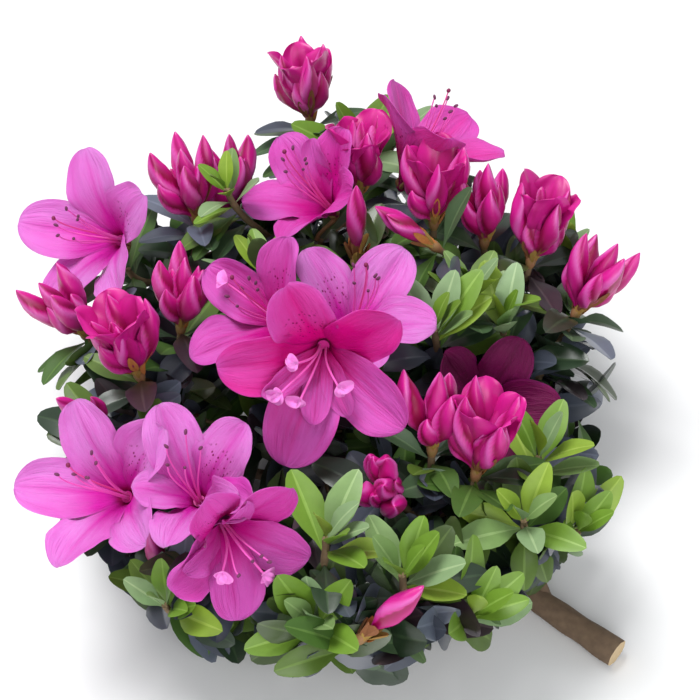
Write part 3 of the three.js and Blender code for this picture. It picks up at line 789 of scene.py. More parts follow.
class Tint(Enum):
    """The casts of the open flowers: the edge's colour, its flecks and the throat's colour, which the veins
    and the painted shade in the throat and the creases also take. SHADED is a cast darkened all over by
    painted shade, for the flower that sits in shade.
    """

    LIGHT = ((0.61, 0.215, 0.57), (0.58, 0.13, 0.49), (0.55, 0.010, 0.33))
    ROSE = ((0.585, 0.12, 0.475), (0.56, 0.062, 0.39), (0.52, 0.002, 0.235))
    DEEP = ((0.585, 0.115, 0.465), (0.57, 0.052, 0.37), (0.59, 0.0, 0.205))
    # painted shade: the petals' colours darkened for the flower that sits in shade
    SHADED = ((0.165, 0.001, 0.072), (0.12, 0.0, 0.048), (0.06, 0.0, 0.02))

    def finish(self) -> bpy.types.Material:
        """The petals' material in this cast."""
        base, fleck, deep = self.value
        return PetalFinish(
            f"petal_{self.name.lower()}", base, fleck, 90, Gloss.VELVET, glow=0.3, bump=0.8, height=0.0011,
            deep=deep, spot=(0.18, 0.0, 0.07),
        ).material()


@dataclass(frozen=True)
class LeafTone:
    """The colours of one kind of leaf, blade and rib."""

    DARKER = 0.72  # a blade's flecks, as a share of its colour
    SCALE = 260

    name: str
    blade: Colour
    rib: Colour
    gloss: Gloss = Gloss.WAXY

    def finishes(self) -> list[bpy.types.Material]:
        """Makes the leaf's two materials.

        Returns:
            The blade's material and the rib's.
        """
        dark = tuple(self.DARKER * c for c in self.blade)
        return [
            Finish(f"leaf_{self.name}", self.blade, dark, self.SCALE, self.gloss, bump=0.2).material(),
            Finish(f"rib_{self.name}", self.rib, self.blade, self.SCALE, self.gloss, bump=0.1).material(),
        ]


YOUNG = (
    LeafTone("fresh", (0.15, 0.28, 0.025), (0.25, 0.39, 0.08)),
    LeafTone("yellow_green", (0.24, 0.37, 0.035), (0.34, 0.46, 0.09)),
    LeafTone("sage", (0.19, 0.31, 0.10), (0.31, 0.43, 0.18)),
    LeafTone("silver_sage", (0.23, 0.35, 0.165), (0.36, 0.47, 0.25)),
)
MIDDLE = (
    LeafTone("mid_green", (0.055, 0.125, 0.020), (0.12, 0.21, 0.05)),
    LeafTone("moss", (0.085, 0.155, 0.018), (0.15, 0.24, 0.05)),
    LeafTone("grey_green", (0.058, 0.112, 0.048), (0.12, 0.19, 0.085)),
)
OLD = (
    LeafTone("dark_green", (0.020, 0.042, 0.019), (0.045, 0.08, 0.035), Gloss.POLISHED),
    # dark blue-grey, partly the old leaf's own colour and partly a painted reflection of the pale blue sky
    LeafTone("slate_sky_sheen", (0.052, 0.062, 0.088), (0.085, 0.095, 0.125), Gloss.POLISHED),
    LeafTone("wine", (0.035, 0.020, 0.028), (0.07, 0.045, 0.05), Gloss.POLISHED),
    LeafTone("olive", (0.050, 0.085, 0.020), (0.10, 0.15, 0.045), Gloss.POLISHED),
    # painted reflection: a pale blue-grey that stands for the sky mirrored on glossy old leaves
    LeafTone("painted_sky_sheen", (0.115, 0.135, 0.185), (0.17, 0.19, 0.25), Gloss.POLISHED),
)


class LeafAge(Enum):
    """The three joined pieces that the leaves go into, with their tones and their share of them."""

    YOUNG = (YOUNG, (0.4, 0.22, 0.24, 0.14))
    MIDDLE = (MIDDLE, (0.45, 0.3, 0.25))
    OLD = (OLD, (0.33, 0.30, 0.09, 0.16, 0.12))


@dataclass
class Leaf:
    """One leaf: where it starts, where it points and looks, and its sizes and bends."""

    root: np.ndarray
    along: np.ndarray
    facing: np.ndarray
    length: float
    width: float
    age: LeafAge
    tone: int
    bend: float = 0.2
    fold: float = 0.35

    def line(self, shares: np.ndarray) -> np.ndarray:
        """Points along its middle rib, which rises a little and then bends down as the share squared.

        Args:
            shares: (n,) shares of its length.

        Returns:
            (n, 3) points.
        """
        s = shares[:, None]
        rise = self.length * (LEAF_RISE * s - self.bend * s * s)
        run = self.along * self.length * s * (1 - LEAF_DRAW_IN * self.bend * s)
        return self.root + run + self.facing * rise


@dataclass
class Leaves:
    """All the leaves of the branch, laid out first and then made as three joined pieces.

    At share u along and v across, from -1 to 1, the half width h(u) is W/2 sin(pi u^1.22)^(blunt (1.5 - u)).
    A leaf of length L has its point there at root + u (1 - 0.12 bend u) L along + v h side
    + (0.06 u - bend u^2) L facing + h (fold |v| - 0.42 fold |v|^2.4) facing
    + 0.05 h |v| sin(9 u + 3 sign v) facing. Its underside is one more line under the rib.
    """

    SKEW = 1.22  # moves the widest place towards the tip
    TAPER = 1.5
    CUP = 0.42  # how far the blade's edge levels out again, as a share of its fold
    CUP_POWER = 2.4
    WAVE = 0.05  # of the half width
    WAVES = 9
    TIP_POWER = 1.6  # crowds the rings towards the tip
    RIB_COLUMN = 2
    FLOOR = 0.9  # the lowest that a leaf's own line and sides may lie
    SIDE_SHARE = 0.45  # of its width, out to the places that are tried beside the line
    NEAR_SHARE = 0.8  # of its length, within which other leaves are looked at

    rings: int = 8
    across: tuple[float, ...] = (1.0, 0.55, 0.09, -0.09, -0.55, -1.0)
    thickness: float = 0.45
    clearance: float = 2.3
    blunt: float = 1.0
    spacing: float = 1.3
    leaves: list[Leaf] = field(default_factory=list)
    taken: np.ndarray = field(default_factory=lambda: np.zeros((0, 3)))

    def fits(self, leaf: Leaf, blooms: KDTree, reach: float) -> bool:
        """Whether a leaf lies inside the crown, above the floor, and clear of blooms and other leaves.

        Args:
            leaf: the leaf to try.
            blooms: the points of the flowers and the buds.
            reach: how far out in the crown its tip may lie.

        Returns:
            True if it has room.
        """
        line = leaf.line(np.linspace(0.1, 1.0, 9))
        side = np.cross(leaf.facing, leaf.along) * leaf.width * self.SIDE_SHARE
        spots = np.vstack([line, line[1:7] + side, line[1:7] - side])
        if outward_share(line[-1]) > reach or spots[:, 2].min() < self.FLOOR:
            return False
        if any(blooms.find(Vector(spot))[2] < self.clearance for spot in spots):
            return False
        near = self.taken[np.abs(self.taken - line[4]).max(axis=1) < leaf.length * self.NEAR_SHARE]
        if len(near) and np.linalg.norm(near[None] - line[:, None], axis=2).min() < self.spacing:
            return False
        self.taken = np.vstack([self.taken, line])
        return True

    def template(self) -> tuple[np.ndarray, np.ndarray, np.ndarray]:
        """The parts that every leaf shares; the rings lie at 1 - (1 - t)^1.6 for even t.

        Returns:
            The rings' shares along it, its faces, and a 1 for each face of its rib.
        """
        around = len(self.across) + 1
        columns = np.arange(around)
        faces = tube_faces(self.rings, around)
        column = np.concatenate([np.tile(columns, self.rings - 1), np.tile(columns, 2)])
        t = np.linspace(0, 1, self.rings + 2)[1:-1]
        return 1 - (1 - t) ** self.TIP_POWER, faces, (column == self.RIB_COLUMN).astype(int)

    def block(self, leaves: list[Leaf]) -> tuple[np.ndarray, np.ndarray, np.ndarray]:
        """The points, faces and tones of several leaves, by the formula above.

        Args:
            leaves: the leaves, all worked out at once.

        Returns:
            Points (n, 3), faces (m, 4) and a tone for each face, two to a kind of leaf.
        """
        shares, faces, rib = self.template()
        u = shares[None, :, None]
        root, along, facing = (
            np.array([getattr(leaf, key) for leaf in leaves]) for key in ("root", "along", "facing")
        )
        facing = unit(facing - np.sum(facing * along, axis=1, keepdims=True) * along)
        side = np.cross(facing, along)
        length, width, bend, fold = (
            np.array([getattr(leaf, key) for leaf in leaves])[:, None, None]
            for key in ("length", "width", "bend", "fold")
        )
        half = (width / 2) * (np.sin(np.pi * u**self.SKEW) ** (self.blunt * (self.TAPER - u)))
        v = np.array([*self.across, 0.0])[None, None, :]
        rise = half * (fold * np.abs(v) - self.CUP * fold * np.abs(v) ** self.CUP_POWER)
        rise[..., -1] -= self.thickness
        s = u + 0 * v
        wave = self.WAVE * half * np.sin(self.WAVES * s + 3 * np.sign(v)) * np.abs(v)
        x = length * s * (1 - LEAF_DRAW_IN * bend * s)
        z = length * (LEAF_RISE * s - bend * s * s) + rise + wave
        y = half * v
        grid = (
            root[:, None, None] + along[:, None, None] * x[..., None]
            + side[:, None, None] * y[..., None] + facing[:, None, None] * z[..., None]
        )
        tip_rise = length[:, 0] * (LEAF_RISE - bend[:, 0])
        tips = root + along * length[:, 0] * (1 - LEAF_DRAW_IN * bend[:, 0]) + facing * tip_rise
        points = np.concatenate([grid.reshape(len(leaves), -1, 3), root[:, None], tips[:, None]], axis=1)
        starts = (np.arange(len(leaves)) * points.shape[1])[:, None, None]
        all_faces = np.where(faces[None] < 0, -1, faces[None] + starts).reshape(-1, 4)
        tones = (2 * np.array([leaf.tone for leaf in leaves])[:, None] + rib[None]).ravel()
        return points.reshape(-1, 3), all_faces, tones

    def build(self, nodes: list[str]) -> list[bpy.types.Object]:
        """The three joined pieces.

        Args:
            nodes: the CAD nodes of the masses.

        Returns:
            One object for each age of leaf.
        """
        made = []
        for age in LeafAge:
            own = [leaf for leaf in self.leaves if leaf.age is age]
            sheaf = Sheaf()
            sheaf.add(*self.block(own))
            finishes = [finish for tone in age.value[0] for finish in tone.finishes()]
            made.append(sheaf.piece(f"leaves_{age.name.lower()}", finishes, "leaf", nodes))
            LOG.info("%s leaves: %d", age.name, len(own))
        return made


@dataclass
class Wood:
    """The stem and its boughs, with bark in relief, and the cut end's pale wood.

    The bark's radius at share s and angle a is r(s) (1 + 0.07 ridges + 0.02 fine + 0.05 lumps). The ridges
    are |sin(3 a + wander(s))|^0.7 - 0.6, and the fine ones and the lumps are products of two sines.
    """

    RIDGES, FINE, LUMPS = 0.07, 0.02, 0.05  # their heights, as shares of the radius
    LEAST_RINGS = 12
    SET_OUT, ARRIVE = 0.45, 0.12  # shares of a bough's level run that it starts level and ends rising
    LIFT = 0.25  # most that it rises there, as a share of that run
    FLOOR_GAP = 1.0

    around: int = 40
    rings_per_mm: float = 1.1
    limbs: dict[str, Path] = field(default_factory=dict)

    def bark(
        self, path: Path, start: float, end: float, around: int, seed: int
    ) -> tuple[np.ndarray, np.ndarray]:
        """One limb with its relief.

        Args:
            path: the line it follows.
            start: its radius at the start.
            end: its radius at the tip.
            around: the points in a ring.
            seed: sets the relief's phases.

        Returns:
            Its points and faces.
        """
        phases = np.random.default_rng(seed).uniform(0, FULL_TURN, 8)
        rings = max(int(path.length() * self.rings_per_mm), self.LEAST_RINGS)
        s = np.linspace(0, 1, rings)[:, None]
        a = np.linspace(0, 2 * np.pi, around, endpoint=False)[None]
        mm = s * path.length()
        wander = 0.9 * np.sin(mm / 6.1 + phases[0]) + 0.6 * np.sin(mm / 2.9 + phases[1])
        ridges = np.abs(np.sin(3 * a + wander + phases[2])) ** 0.7 - 0.6
        fine = np.sin(9 * a + 1.7 * wander + phases[3]) * np.sin(mm / 1.9 + phases[4])
        lumps = np.sin(mm / 4.7 + phases[5] + a) * np.sin(mm / 7.3 + phases[6] - a)
        relief = 1 + self.RIDGES * ridges + self.FINE * fine + self.LUMPS * lumps
        return tube(path, (start + (end - start) * s) * relief, around)

    def grow(self) -> None:
        """Lays out the stem and the boughs. A bough sets out level towards its clump's foot and arrives
        there from a little below it; the stem's own clump stands on the stem's tip."""
        self.limbs["stem"] = spline(np.array(STEM_PATH, dtype=float))
        for clump in sorted(CLUMPS, key=lambda c: c.parent != "stem"):
            if clump.share == 1:
                self.limbs[clump.name] = self.limbs["stem"]
                continue
            start = self.limbs[clump.parent].at(clump.share)
            foot = np.array(clump.foot, dtype=float)
            level = (foot - start) * LEVEL
            lift = min(self.LIFT * float(np.linalg.norm(level)), foot[2] - BOUGH_BASE_RADIUS - self.FLOOR_GAP)
            before = foot - self.ARRIVE * level - UP * lift
            self.limbs[clump.name] = bezier(start, start + self.SET_OUT * level, before, foot)

    def build(self) -> list[bpy.types.Object]:
        """Makes the wood's pieces.

        Returns:
            The stem's piece and the boughs' joined piece.
        """
        bark = Finish("bark_grey_brown", (0.20, 0.135, 0.085), (0.09, 0.06, 0.04), 420, Gloss.DULL, bump=0.6)
        heart = Finish("cut_wood", (0.62, 0.48, 0.30), (0.50, 0.36, 0.20), 700, Gloss.DULL, bump=0.2)
        finishes = [bark.material(), heart.material()]
        points, faces = self.bark(self.limbs["stem"], STEM_CUT_RADIUS, STEM_TIP_RADIUS, self.around, 1)
        tones = np.zeros(len(faces), dtype=int)
        tones[-2 * self.around : -self.around] = 1  # the fan over the cut end
        stem, boughs = Sheaf(), Sheaf()
        stem.add(points, faces, tones)
        names = []
        for number, clump in enumerate(CLUMPS, start=2):
            if clump.share < 1:
                limb = self.limbs[clump.name]
                boughs.add(*self.bark(limb, BOUGH_BASE_RADIUS, BOUGH_TIP_RADIUS, self.around // 2, number))
                names.append(f"bough_{clump.name}")
        return [
            stem.piece("stem_bark", finishes, "bark", ["stem"]),
            boughs.piece("bough_bark", finishes[:1], "bark", names),
        ]


@dataclass(frozen=True)
class Bloom:
    """An open flower: its throat, the way it faces, the turn and lengths of its petals, how wide it opens,
    how much deeper each one's colour is, where the small petals within the five stand, how many stamens it
    has, and where its petal-like stamens end: the angle from the level and the distance from the axis."""

    throat: tuple[float, float, float]
    faces: tuple[float, float]
    turn: float
    reach: tuple[float, ...] = (1, 1, 1, 1, 1)
    opening: float = 60
    flush: tuple[float, ...] = (0, 0, 0, 0, 0)
    ruffles: tuple[float, ...] = ()
    stamens: int = 7
    tassels: tuple[tuple[float, float], ...] = ()
    fine: bool = False
    spots: float = 1.0
    tint: Tint = Tint.ROSE


BLOOMS = {
    "centre_right": Bloom(
        (2, -13, 76), (12, -43), 60, (0.95, 0.9, 0.9, 0.85, 0.86), 66, fine=True, tint=Tint.LIGHT,
    ),
    "centre_front": Bloom(
        (-9, -45, 90), (67, -95), 36, (1, 1, 1.05, 1.2, 1.1), 66, flush=(0.9, 0.4, 0.75, -0.1, -0.25),
        ruffles=(262, 298, 205), stamens=0, tassels=((165, 7), (213, 13), (243, 11), (325, 8)), fine=True,
        tint=Tint.DEEP,
    ),
    "centre_left": Bloom(
        (-26, -13, 76), (38, -151), 58, (0.85, 0.9, 0.95, 0.85, 0.85), 62, tassels=((190, 15),), fine=True,
    ),
    "front_left_upper": Bloom(
        (-47, -80, 74), (17, -127), 38, (0.85, 0.9, 0.55, 0.72, 0.85), 62, flush=(0, -0.1, 0, 0, 0.6),
        ruffles=(330,), stamens=5, tint=Tint.LIGHT,
    ),
    "front_left_lower": Bloom(
        (-33, -102, 76), (72, -67), 64, (0.78, 0.8, 0.82, 0.8, 0.76), 62, flush=(0.5, 0.4, 0, -0.1, 0),
        ruffles=(100, 205), stamens=4, tassels=((205, 8), (300, 9)),
    ),
    "left_rim": Bloom((-73, -72, 62), (36, -138), 24, tint=Tint.LIGHT),
    "back_centre": Bloom(
        (-12, 46, 72), (32, -157), 38, (0.84, 0.84, 0.84, 0.8, 0.84), 55, flush=(0.4, 0, 0, 0.2, 0.5),
        ruffles=(74,),
    ),
    "back_left": Bloom((-84, 36, 62), (48, -140), 10, tint=Tint.LIGHT),
    "back_right": Bloom((24, 64, 74), (37, 39), 54, opening=45, flush=(0, 0, 0.3, 0.4, 0.3), tint=Tint.DEEP),
    "shaded": Bloom((44, -28, 50), (32, -61), 0, (0.8, 0.8, 0.8, 0.8, 0.8), 60, stamens=0, tint=Tint.SHADED),
}


@dataclass(frozen=True)
class PetalForm:
    """One petal's shape before it is seated: its sizes, where it starts, and how it cups and ruffles."""

    length: float
    width: float
    opening: float
    cup: float
    ripple: float
    recurve: float
    phases: np.ndarray
    flush: float = 0.0
    start: tuple[float, float] = (1.3, -15.0)
    thickness: float = 0.3


@dataclass
class Flower:
    """An open flower of five lobes on a tube, with inner ruffles, stamens and a pistil.

    A petal's middle line is a cubic Bezier in the plane of the flower's axis and its own outward direction.
    At share t along it and v across, from -1 to 1, the point is that line's + R sin(v h / R) side
    + (R (1 - cos(v h / R)) + relief - recurve + lean) inward. R(t) is the tube's radius low down and the
    lobe's cup higher up, and h(t) is the half width, which narrows to a round tip. The recurve grows with
    length as smooth(t)^1.5, and the lean is 0.8 v, so that each petal overlaps the next.
    """

    ROWS_TO_CAP, CAP_ROWS = 0.62, 0.38  # a petal's rows below its cap and in it
    RUN_TO_CAP, CAP_RUN = 0.72, 0.28  # the lengths of those, as shares
    CAP_ANGLE = math.radians(87)  # of the sine by which the cap's rows close up
    TUBE_PULL = (3.0, -7.0)  # the middle line's second point: out from the axis, and up from the throat
    LOBE_ROOT = (3.5, -3.0)
    LOBE_PULL = 0.35  # its third point, from there, as a share of the lobe
    FOOT_HALF = 1.1  # half a petal's width in the tube
    BOWL = (0.22, 0.5)  # the shares over which the tube's roundness gives way to the lobe's cup
    LOBE_END = 0.62  # where the relief is full
    VEINS = 25  # their closeness across the petal
    RUFFLE_TRIM = (8, 6)  # rows and columns that a small petal has fewer
    INSERTION = 12  # where the stamens rise in the tube, down from the throat
    STALK_END, SHELL_END = 2, 11  # up from the tube's foot, and down from the throat

    bloom: Bloom
    stalk_start: np.ndarray
    stalk_axis: np.ndarray
    seed: int
    lobe_start: float = 0.30
    widest: float = 0.7
    throat: np.ndarray = field(init=False)
    axis: np.ndarray = field(init=False)
    seat: np.ndarray = field(init=False)
    rng: np.random.Generator = field(init=False)

    def __post_init__(self) -> None:
        """Works out the flower's own frame."""
        self.throat = np.array(self.bloom.throat, dtype=float)
        self.axis = heading(*self.bloom.faces)
        self.seat = seated(self.axis)
        self.rng = np.random.default_rng(self.seed)

    def outward(self, degrees: float) -> np.ndarray:
        """The direction away from the axis at an angle round it."""
        a = math.radians(degrees)
        return self.seat @ np.array([math.cos(a), math.sin(a), 0.0])

    def shares(self, rows: int) -> np.ndarray:
        """Shares along a petal: even up to its cap, then a quarter sine, which crowds them at the tip.

        Args:
            rows: the number of shares.

        Returns:
            (rows, 1), from 0 in the tube to 1 at the tip.
        """
        turn = np.linspace(0, 1, rows)
        rise = self.RUN_TO_CAP * np.minimum(turn / self.ROWS_TO_CAP, 1)
        cap_turn = np.clip((turn - self.ROWS_TO_CAP) / self.CAP_ROWS, 0, 1)
        cap = self.CAP_RUN * np.sin(cap_turn * self.CAP_ANGLE)
        return (rise + cap)[:, None] / (self.RUN_TO_CAP + self.CAP_RUN * math.sin(self.CAP_ANGLE))

    def middle(self, form: PetalForm, t: np.ndarray) -> tuple[np.ndarray, np.ndarray]:
        """A petal's middle line, up the tube and out along the lobe.

        Args:
            form: the petal's shape.
            t: the shares along it.

        Returns:
            Its points and the unit directions to its inner side, each as (out, up) in its own plane.
        """
        opening = math.radians(form.opening)
        way = np.array([math.sin(opening), math.cos(opening)])
        root = np.array(self.LOBE_ROOT)
        a, b = np.array(form.start), np.array(self.TUBE_PULL)
        c, d = root + self.LOBE_PULL * form.length * way, root + form.length * way
        line = (1 - t) ** 3 * a + 3 * (1 - t) ** 2 * t * b + 3 * (1 - t) * t * t * c + t**3 * d
        slope = 3 * ((1 - t) ** 2 * (b - a) + 2 * (1 - t) * t * (c - b) + t * t * (d - c))
        slope = slope / np.linalg.norm(slope, axis=1, keepdims=True)
        return line, np.stack([-slope[:, 1], slope[:, 0]], axis=1)

    def relief(self, form: PetalForm, t: np.ndarray, v: np.ndarray, veins: np.ndarray) -> np.ndarray:
        """How far a petal's surface stands in from its bowl, in millimetres.

        It is the sum of a ripple |v|^2.2 sin(2 pi f t + p), a finer frill |v|^4 at the rim, two low waves
        over the blade, the veins' ribs and the middle crease -0.75 exp(-(v / 0.16)^2). It comes in along
        the lobe and dies down to a fifth at the tip.

        Args:
            form: the petal's shape.
            t: the shares along it.
            v: the places across it.
            veins: 1 on a vein and -1 between two.

        Returns:
            (rows, columns) heights.
        """
        p, hand, edge = form.phases, np.sign(v), np.abs(v)
        lobe = smooth(t, self.lobe_start, self.LOBE_END)
        ripple = form.ripple * edge**2.2 * np.sin(2 * np.pi * (1.35 + 0.25 * hand) * t + p[0] + 1.3 * hand)
        frill = 0.3 * form.ripple * edge**4 * np.sin(26 * t + p[2] + 2 * hand)
        long_wave = 0.9 * np.sin(3.1 * v + p[1]) * np.sin(5.5 * t + p[2])
        waves = long_wave + 0.36 * np.sin(6.7 * v - p[2]) * np.sin(9 * t)
        crease = -0.75 * np.exp(-((v / 0.16) ** 2)) * (1 - 0.6 * t)
        ribs = 0.13 * veins * (1 - edge)
        return lobe * (1 - 0.8 * smooth(t, 0.86, 1.0)) * (ripple + frill + waves + ribs + crease)

    def tones(
        self, form: PetalForm, t: np.ndarray, v: np.ndarray, veins: np.ndarray, blaze: float
    ) -> tuple[np.ndarray, np.ndarray, np.ndarray]:
        """The values that colour a petal.

        The depth is 1.1 in the tube and falls off along the lobe, partly the flower's own deeper throat and
        partly painted shade. It is more along the middle crease, partly the petal's own midline and partly
        painted shade, less at the rim and tip, partly its own paler edge and partly a painted highlight,
        wanders over the blade, and passes 1 deep in the tube, where it is painted shade.

        Args:
            form: the petal's shape.
            t: the shares along it.
            v: the places across it.
            veins: 1 on a vein and -1 between two.
            blaze: 1 for the spotted petal, else 0.

        Returns:
            The depth, the blaze and the vein values.
        """
        p, edge = form.phases, np.abs(v)
        # deeper towards the throat: partly the flower's own colour, partly painted shade
        throat = 1.1 - smooth(t, 0.24, 0.74)
        # deeper along the middle crease: partly the petal's own midline, partly painted shade
        crease = 0.6 * np.exp(-((v / 0.13) ** 2)) * (1.15 - t)
        # paler at the rim and tip: partly the petal's own edge, partly a painted highlight
        rim = -0.3 * smooth(edge, 0.88, 1.0) - 0.2 * smooth(t, 0.94, 1.0)
        patch = 0.24 * np.sin(2.3 * v + p[0]) * np.sin(4.1 * t + p[1])
        depth = np.clip(throat + crease + rim + patch + form.flush * (1.15 - 0.5 * t), 0, 1)
        # past 1 deep in the tube: painted shade
        depth = depth + 0.7 * (1 - smooth(t, 0.14, 0.28))
        mark = blaze * smooth(t, 0.36, 0.44) * (1 - smooth(t, 0.68, 0.8)) * (1 - smooth(edge, 0.35, 0.7))
        vein = 0.5 * np.clip(veins * 2.2 - 1.3, 0, 1) * smooth(t, 0.22, 0.4) * (1 - 0.8 * smooth(t, 0.6, 1))
        return depth, mark, vein

    def shell(
        self, top: np.ndarray, t: np.ndarray, v: np.ndarray, thickness: float
    ) -> tuple[np.ndarray, np.ndarray]:
        """Closes a petal's surface with an underside, which is a quarter as far away at the rim.

        Args:
            top: (rows, columns, 3) points of the inner side.
            t: the shares along it.
            v: the places across it.
            thickness: the petal's.

        Returns:
            Its points and its faces: the inner side's, the underside's and the rim's.
        """
        rows, columns = top.shape[:2]
        normal = unit(np.cross(np.gradient(top, axis=1), np.gradient(top, axis=0)))
        edge = np.minimum(1 - np.abs(v) ** 8, 1 - np.clip(t, 0, 1) ** 40) * 0.75 + 0.25
        under = top - normal * (thickness * edge)[..., None]
        upper = sheet_faces(rows, columns)[:, ::-1]
        lower = upper[:, ::-1] + rows * columns
        rim = np.concatenate([
            np.arange(columns), np.arange(1, rows) * columns + columns - 1,
            np.arange(columns - 2, -1, -1) + (rows - 1) * columns, np.arange(rows - 2, 0, -1) * columns,
        ])
        ahead = np.roll(rim, -1)
        sides = np.stack([ahead, rim, rim + rows * columns, ahead + rows * columns], axis=1)
        return np.vstack([top.reshape(-1, 3), under.reshape(-1, 3)]), np.vstack([upper, lower, sides])

    def add_petal(
        self, sheaf: Sheaf, form: PetalForm, around: float, blaze: float, rows: int, columns: int
    ) -> None:
        """Adds one petal to a sheaf as a thin closed shell, with its values, by the formula above.

        Args:
            sheaf: takes the petal.
            form: its shape.
            around: its angle round the axis.
            blaze: 1 for the spotted petal, else 0.
            rows: points along it.
            columns: points across it.
        """
        t, v = self.shares(rows), np.linspace(-1, 1, columns)[None]
        line, inward = self.middle(form, t)
        swell = smooth(t / self.widest, 0.05, 1)
        cap = np.clip((t - self.widest) / (1 - self.widest), 0, 1)
        half = (self.FOOT_HALF + (form.width / 2 - self.FOOT_HALF) * swell) * np.sqrt(1 - 0.985 * cap**2.5)
        bowl = smooth(t, *self.BOWL)
        radius = (line[:, :1] + 0.8) * (1 - bowl) + form.cup * bowl
        bend = v * half / radius
        veins = np.cos(self.VEINS * v + 0.5 * np.sin(6 * t + form.phases[1]))
        height = (
            radius * (1 - np.cos(bend)) + self.relief(form, t, v, veins)
            - form.recurve * form.length * smooth(t, 0.5, 1.15) ** 1.5 + 0.8 * v * smooth(t, 0.2, 0.45)
        )
        lateral = radius * np.sin(bend)
        out = self.outward(around)
        side = np.cross(self.axis, out)
        rho = line[:, :1] + inward[:, :1] * height
        deep = line[:, 1:] + inward[:, 1:] * height
        top = self.throat + rho[..., None] * out + deep[..., None] * self.axis + lateral[..., None] * side
        points, faces = self.shell(top, t, v, form.thickness)
        both = [
            np.tile(np.broadcast_to(value, lateral.shape).ravel(), 2)
            for value in (*self.tones(form, t, v, veins, blaze), v * 0.5 + 0.5, t * 1.4)
        ]
        chart = np.stack(both[3:], axis=-1)
        sheaf.add(points, faces, 0, depth=both[0], blaze=both[1], vein=both[2], petal=chart)

    def corolla(self, sheaf: Sheaf) -> None:
        """Adds the five petals and the small ones within them. The spots are on the uppermost petal.

        Args:
            sheaf: takes them.
        """
        rng, bloom = self.rng, self.bloom
        rows, columns = (38, 23) if bloom.fine else (26, 15)
        directions = [self.outward(bloom.turn + PETAL_TURN * k) for k in range(PETALS)]
        blaze = int(np.argmax([d[2] for d in directions]))
        for k, reach in enumerate(bloom.reach):
            form = PetalForm(
                length=27.0 * reach, width=rng.uniform(19.0, 21.0) * (0.35 + 0.65 * reach),
                opening=bloom.opening + rng.uniform(-5, 5), cup=rng.uniform(13, 24),
                ripple=rng.uniform(1.0, 1.9), recurve=rng.uniform(0.02, 0.13),
                phases=rng.uniform(0, FULL_TURN, 3), flush=bloom.flush[k],
            )
            around = bloom.turn + PETAL_TURN * k + rng.uniform(-3, 3)
            self.add_petal(sheaf, form, around, bloom.spots * (k == blaze), rows, columns)
        for angle in bloom.ruffles:
            form = PetalForm(
                length=rng.uniform(15, 19), width=rng.uniform(8.5, 11), opening=rng.uniform(46, 58),
                cup=rng.uniform(6, 11), ripple=rng.uniform(1.2, 2.0), recurve=rng.uniform(0.05, 0.2),
                phases=rng.uniform(0, FULL_TURN, 3), flush=-0.25, start=(0.9, -12.0),
            )
            trimmed = rows - self.RUFFLE_TRIM[0], columns - self.RUFFLE_TRIM[1]
            self.add_petal(sheaf, form, angle, 0.0, *trimmed)

    def stamens(self, filaments: Sheaf, anthers: Sheaf) -> None:
        """Adds the stamens and, as the seventh, the pistil, which bend towards the upper petal.

        Args:
            filaments: the joined piece of filaments and styles.
            anthers: the joined piece of anthers and stigmas.
        """
        rng, axis = self.rng, self.axis
        lift = unit(UP - axis * axis[2] + 1e-6)
        for k in range(self.bloom.stamens):
            out = self.outward(PETAL_TURN * k + 30 * rng.uniform(-1, 1)) * 0.8
            style = k == 6
            reach = 27.0 if style else rng.uniform(17, 24)
            fan = out * (1.5 if style else rng.uniform(3.5, 7.5))
            start = self.throat - axis * self.INSERTION + out
            end = self.throat + axis * reach * 0.86 + fan + lift * rng.uniform(1, 4)
            line = bezier(start, start + axis * self.INSERTION, end - axis * 7 - lift * 2.5, end)
            filaments.add(*tube(line, np.linspace(0.36, 0.24, 12), 6), int(style))
            tip = line.tangent(1.0)
            long, wide = (0.8, 0.75) if style else (0.95, 0.55)
            anthers.add(*globe(end + tip * 0.5, unit(tip + out), long, wide), int(style))

    def tassels(self, filaments: Sheaf, petaloids: list[Leaf]) -> None:
        """Adds the petal-like stamens: a filament each, with three small crinkled blades on its end.

        Args:
            filaments: the joined piece of filaments and styles.
            petaloids: takes the blades.
        """
        rng, axis = self.rng, self.axis
        level = unit(np.cross(UP, axis))
        for angle, distance in self.bloom.tassels:
            a = math.radians(angle)
            out = level * math.cos(a) + np.cross(axis, level) * math.sin(a)
            start = self.throat - axis * self.INSERTION + out
            end = self.throat + axis * rng.uniform(6, 10) + out * distance
            line = bezier(start, start + axis * self.INSERTION, end - axis * 5 - out * 3, end)
            filaments.add(*tube(line, np.linspace(0.34, 0.4, 12), 6), 0)
            facing = unit(axis + rng.uniform(-0.6, 0.6) * level + 0.2 * UP)
            way = unit(out + rng.uniform(-0.9, 0.9) * level + 0.4 * axis)
            for twin in (-1, 0, 1):
                turn = turned(way, facing, 52 * twin + rng.uniform(-8, 8))
                length = rng.uniform(3.2, 5.6)
                blade = Leaf(end - turn, turn, facing, length, length * 0.75, LeafAge.YOUNG, 0, 0.6, 1.2)
                petaloids.append(blade)

    def stalk(self, sheaf: Sheaf) -> None:
        """Adds the stalk, the tube's outside and the small green calyx.

        Args:
            sheaf: the joined piece of stalks.
        """
        base = self.throat + self.axis * (self.STALK_END - FUNNEL_LENGTH)
        line = bent(self.stalk_start, base, self.stalk_axis, self.axis)
        sheaf.add(*tube(line, np.array([0.9, 0.8, 0.75, 0.72, 0.72, 0.75, 0.8, 0.9, 1.2, 1.55]), 8))
        shell = Path(np.stack([base - self.axis * 1.5, self.throat - self.axis * self.SHELL_END]))
        sheaf.add(*tube(shell, np.array([0.6, 1.35, 1.6, 1.8, 1.9]), 12), 1)
        for k in range(PETALS):
            out = self.outward(PETAL_TURN * k + PETAL_TURN / 2)
            tip = base + self.axis * 2.6 + out * 2.6
            sheaf.add(*tube(bent(base, tip, out, self.axis), np.array([0.7, 0.9, 0.85, 0.55, 0.15]), 5))


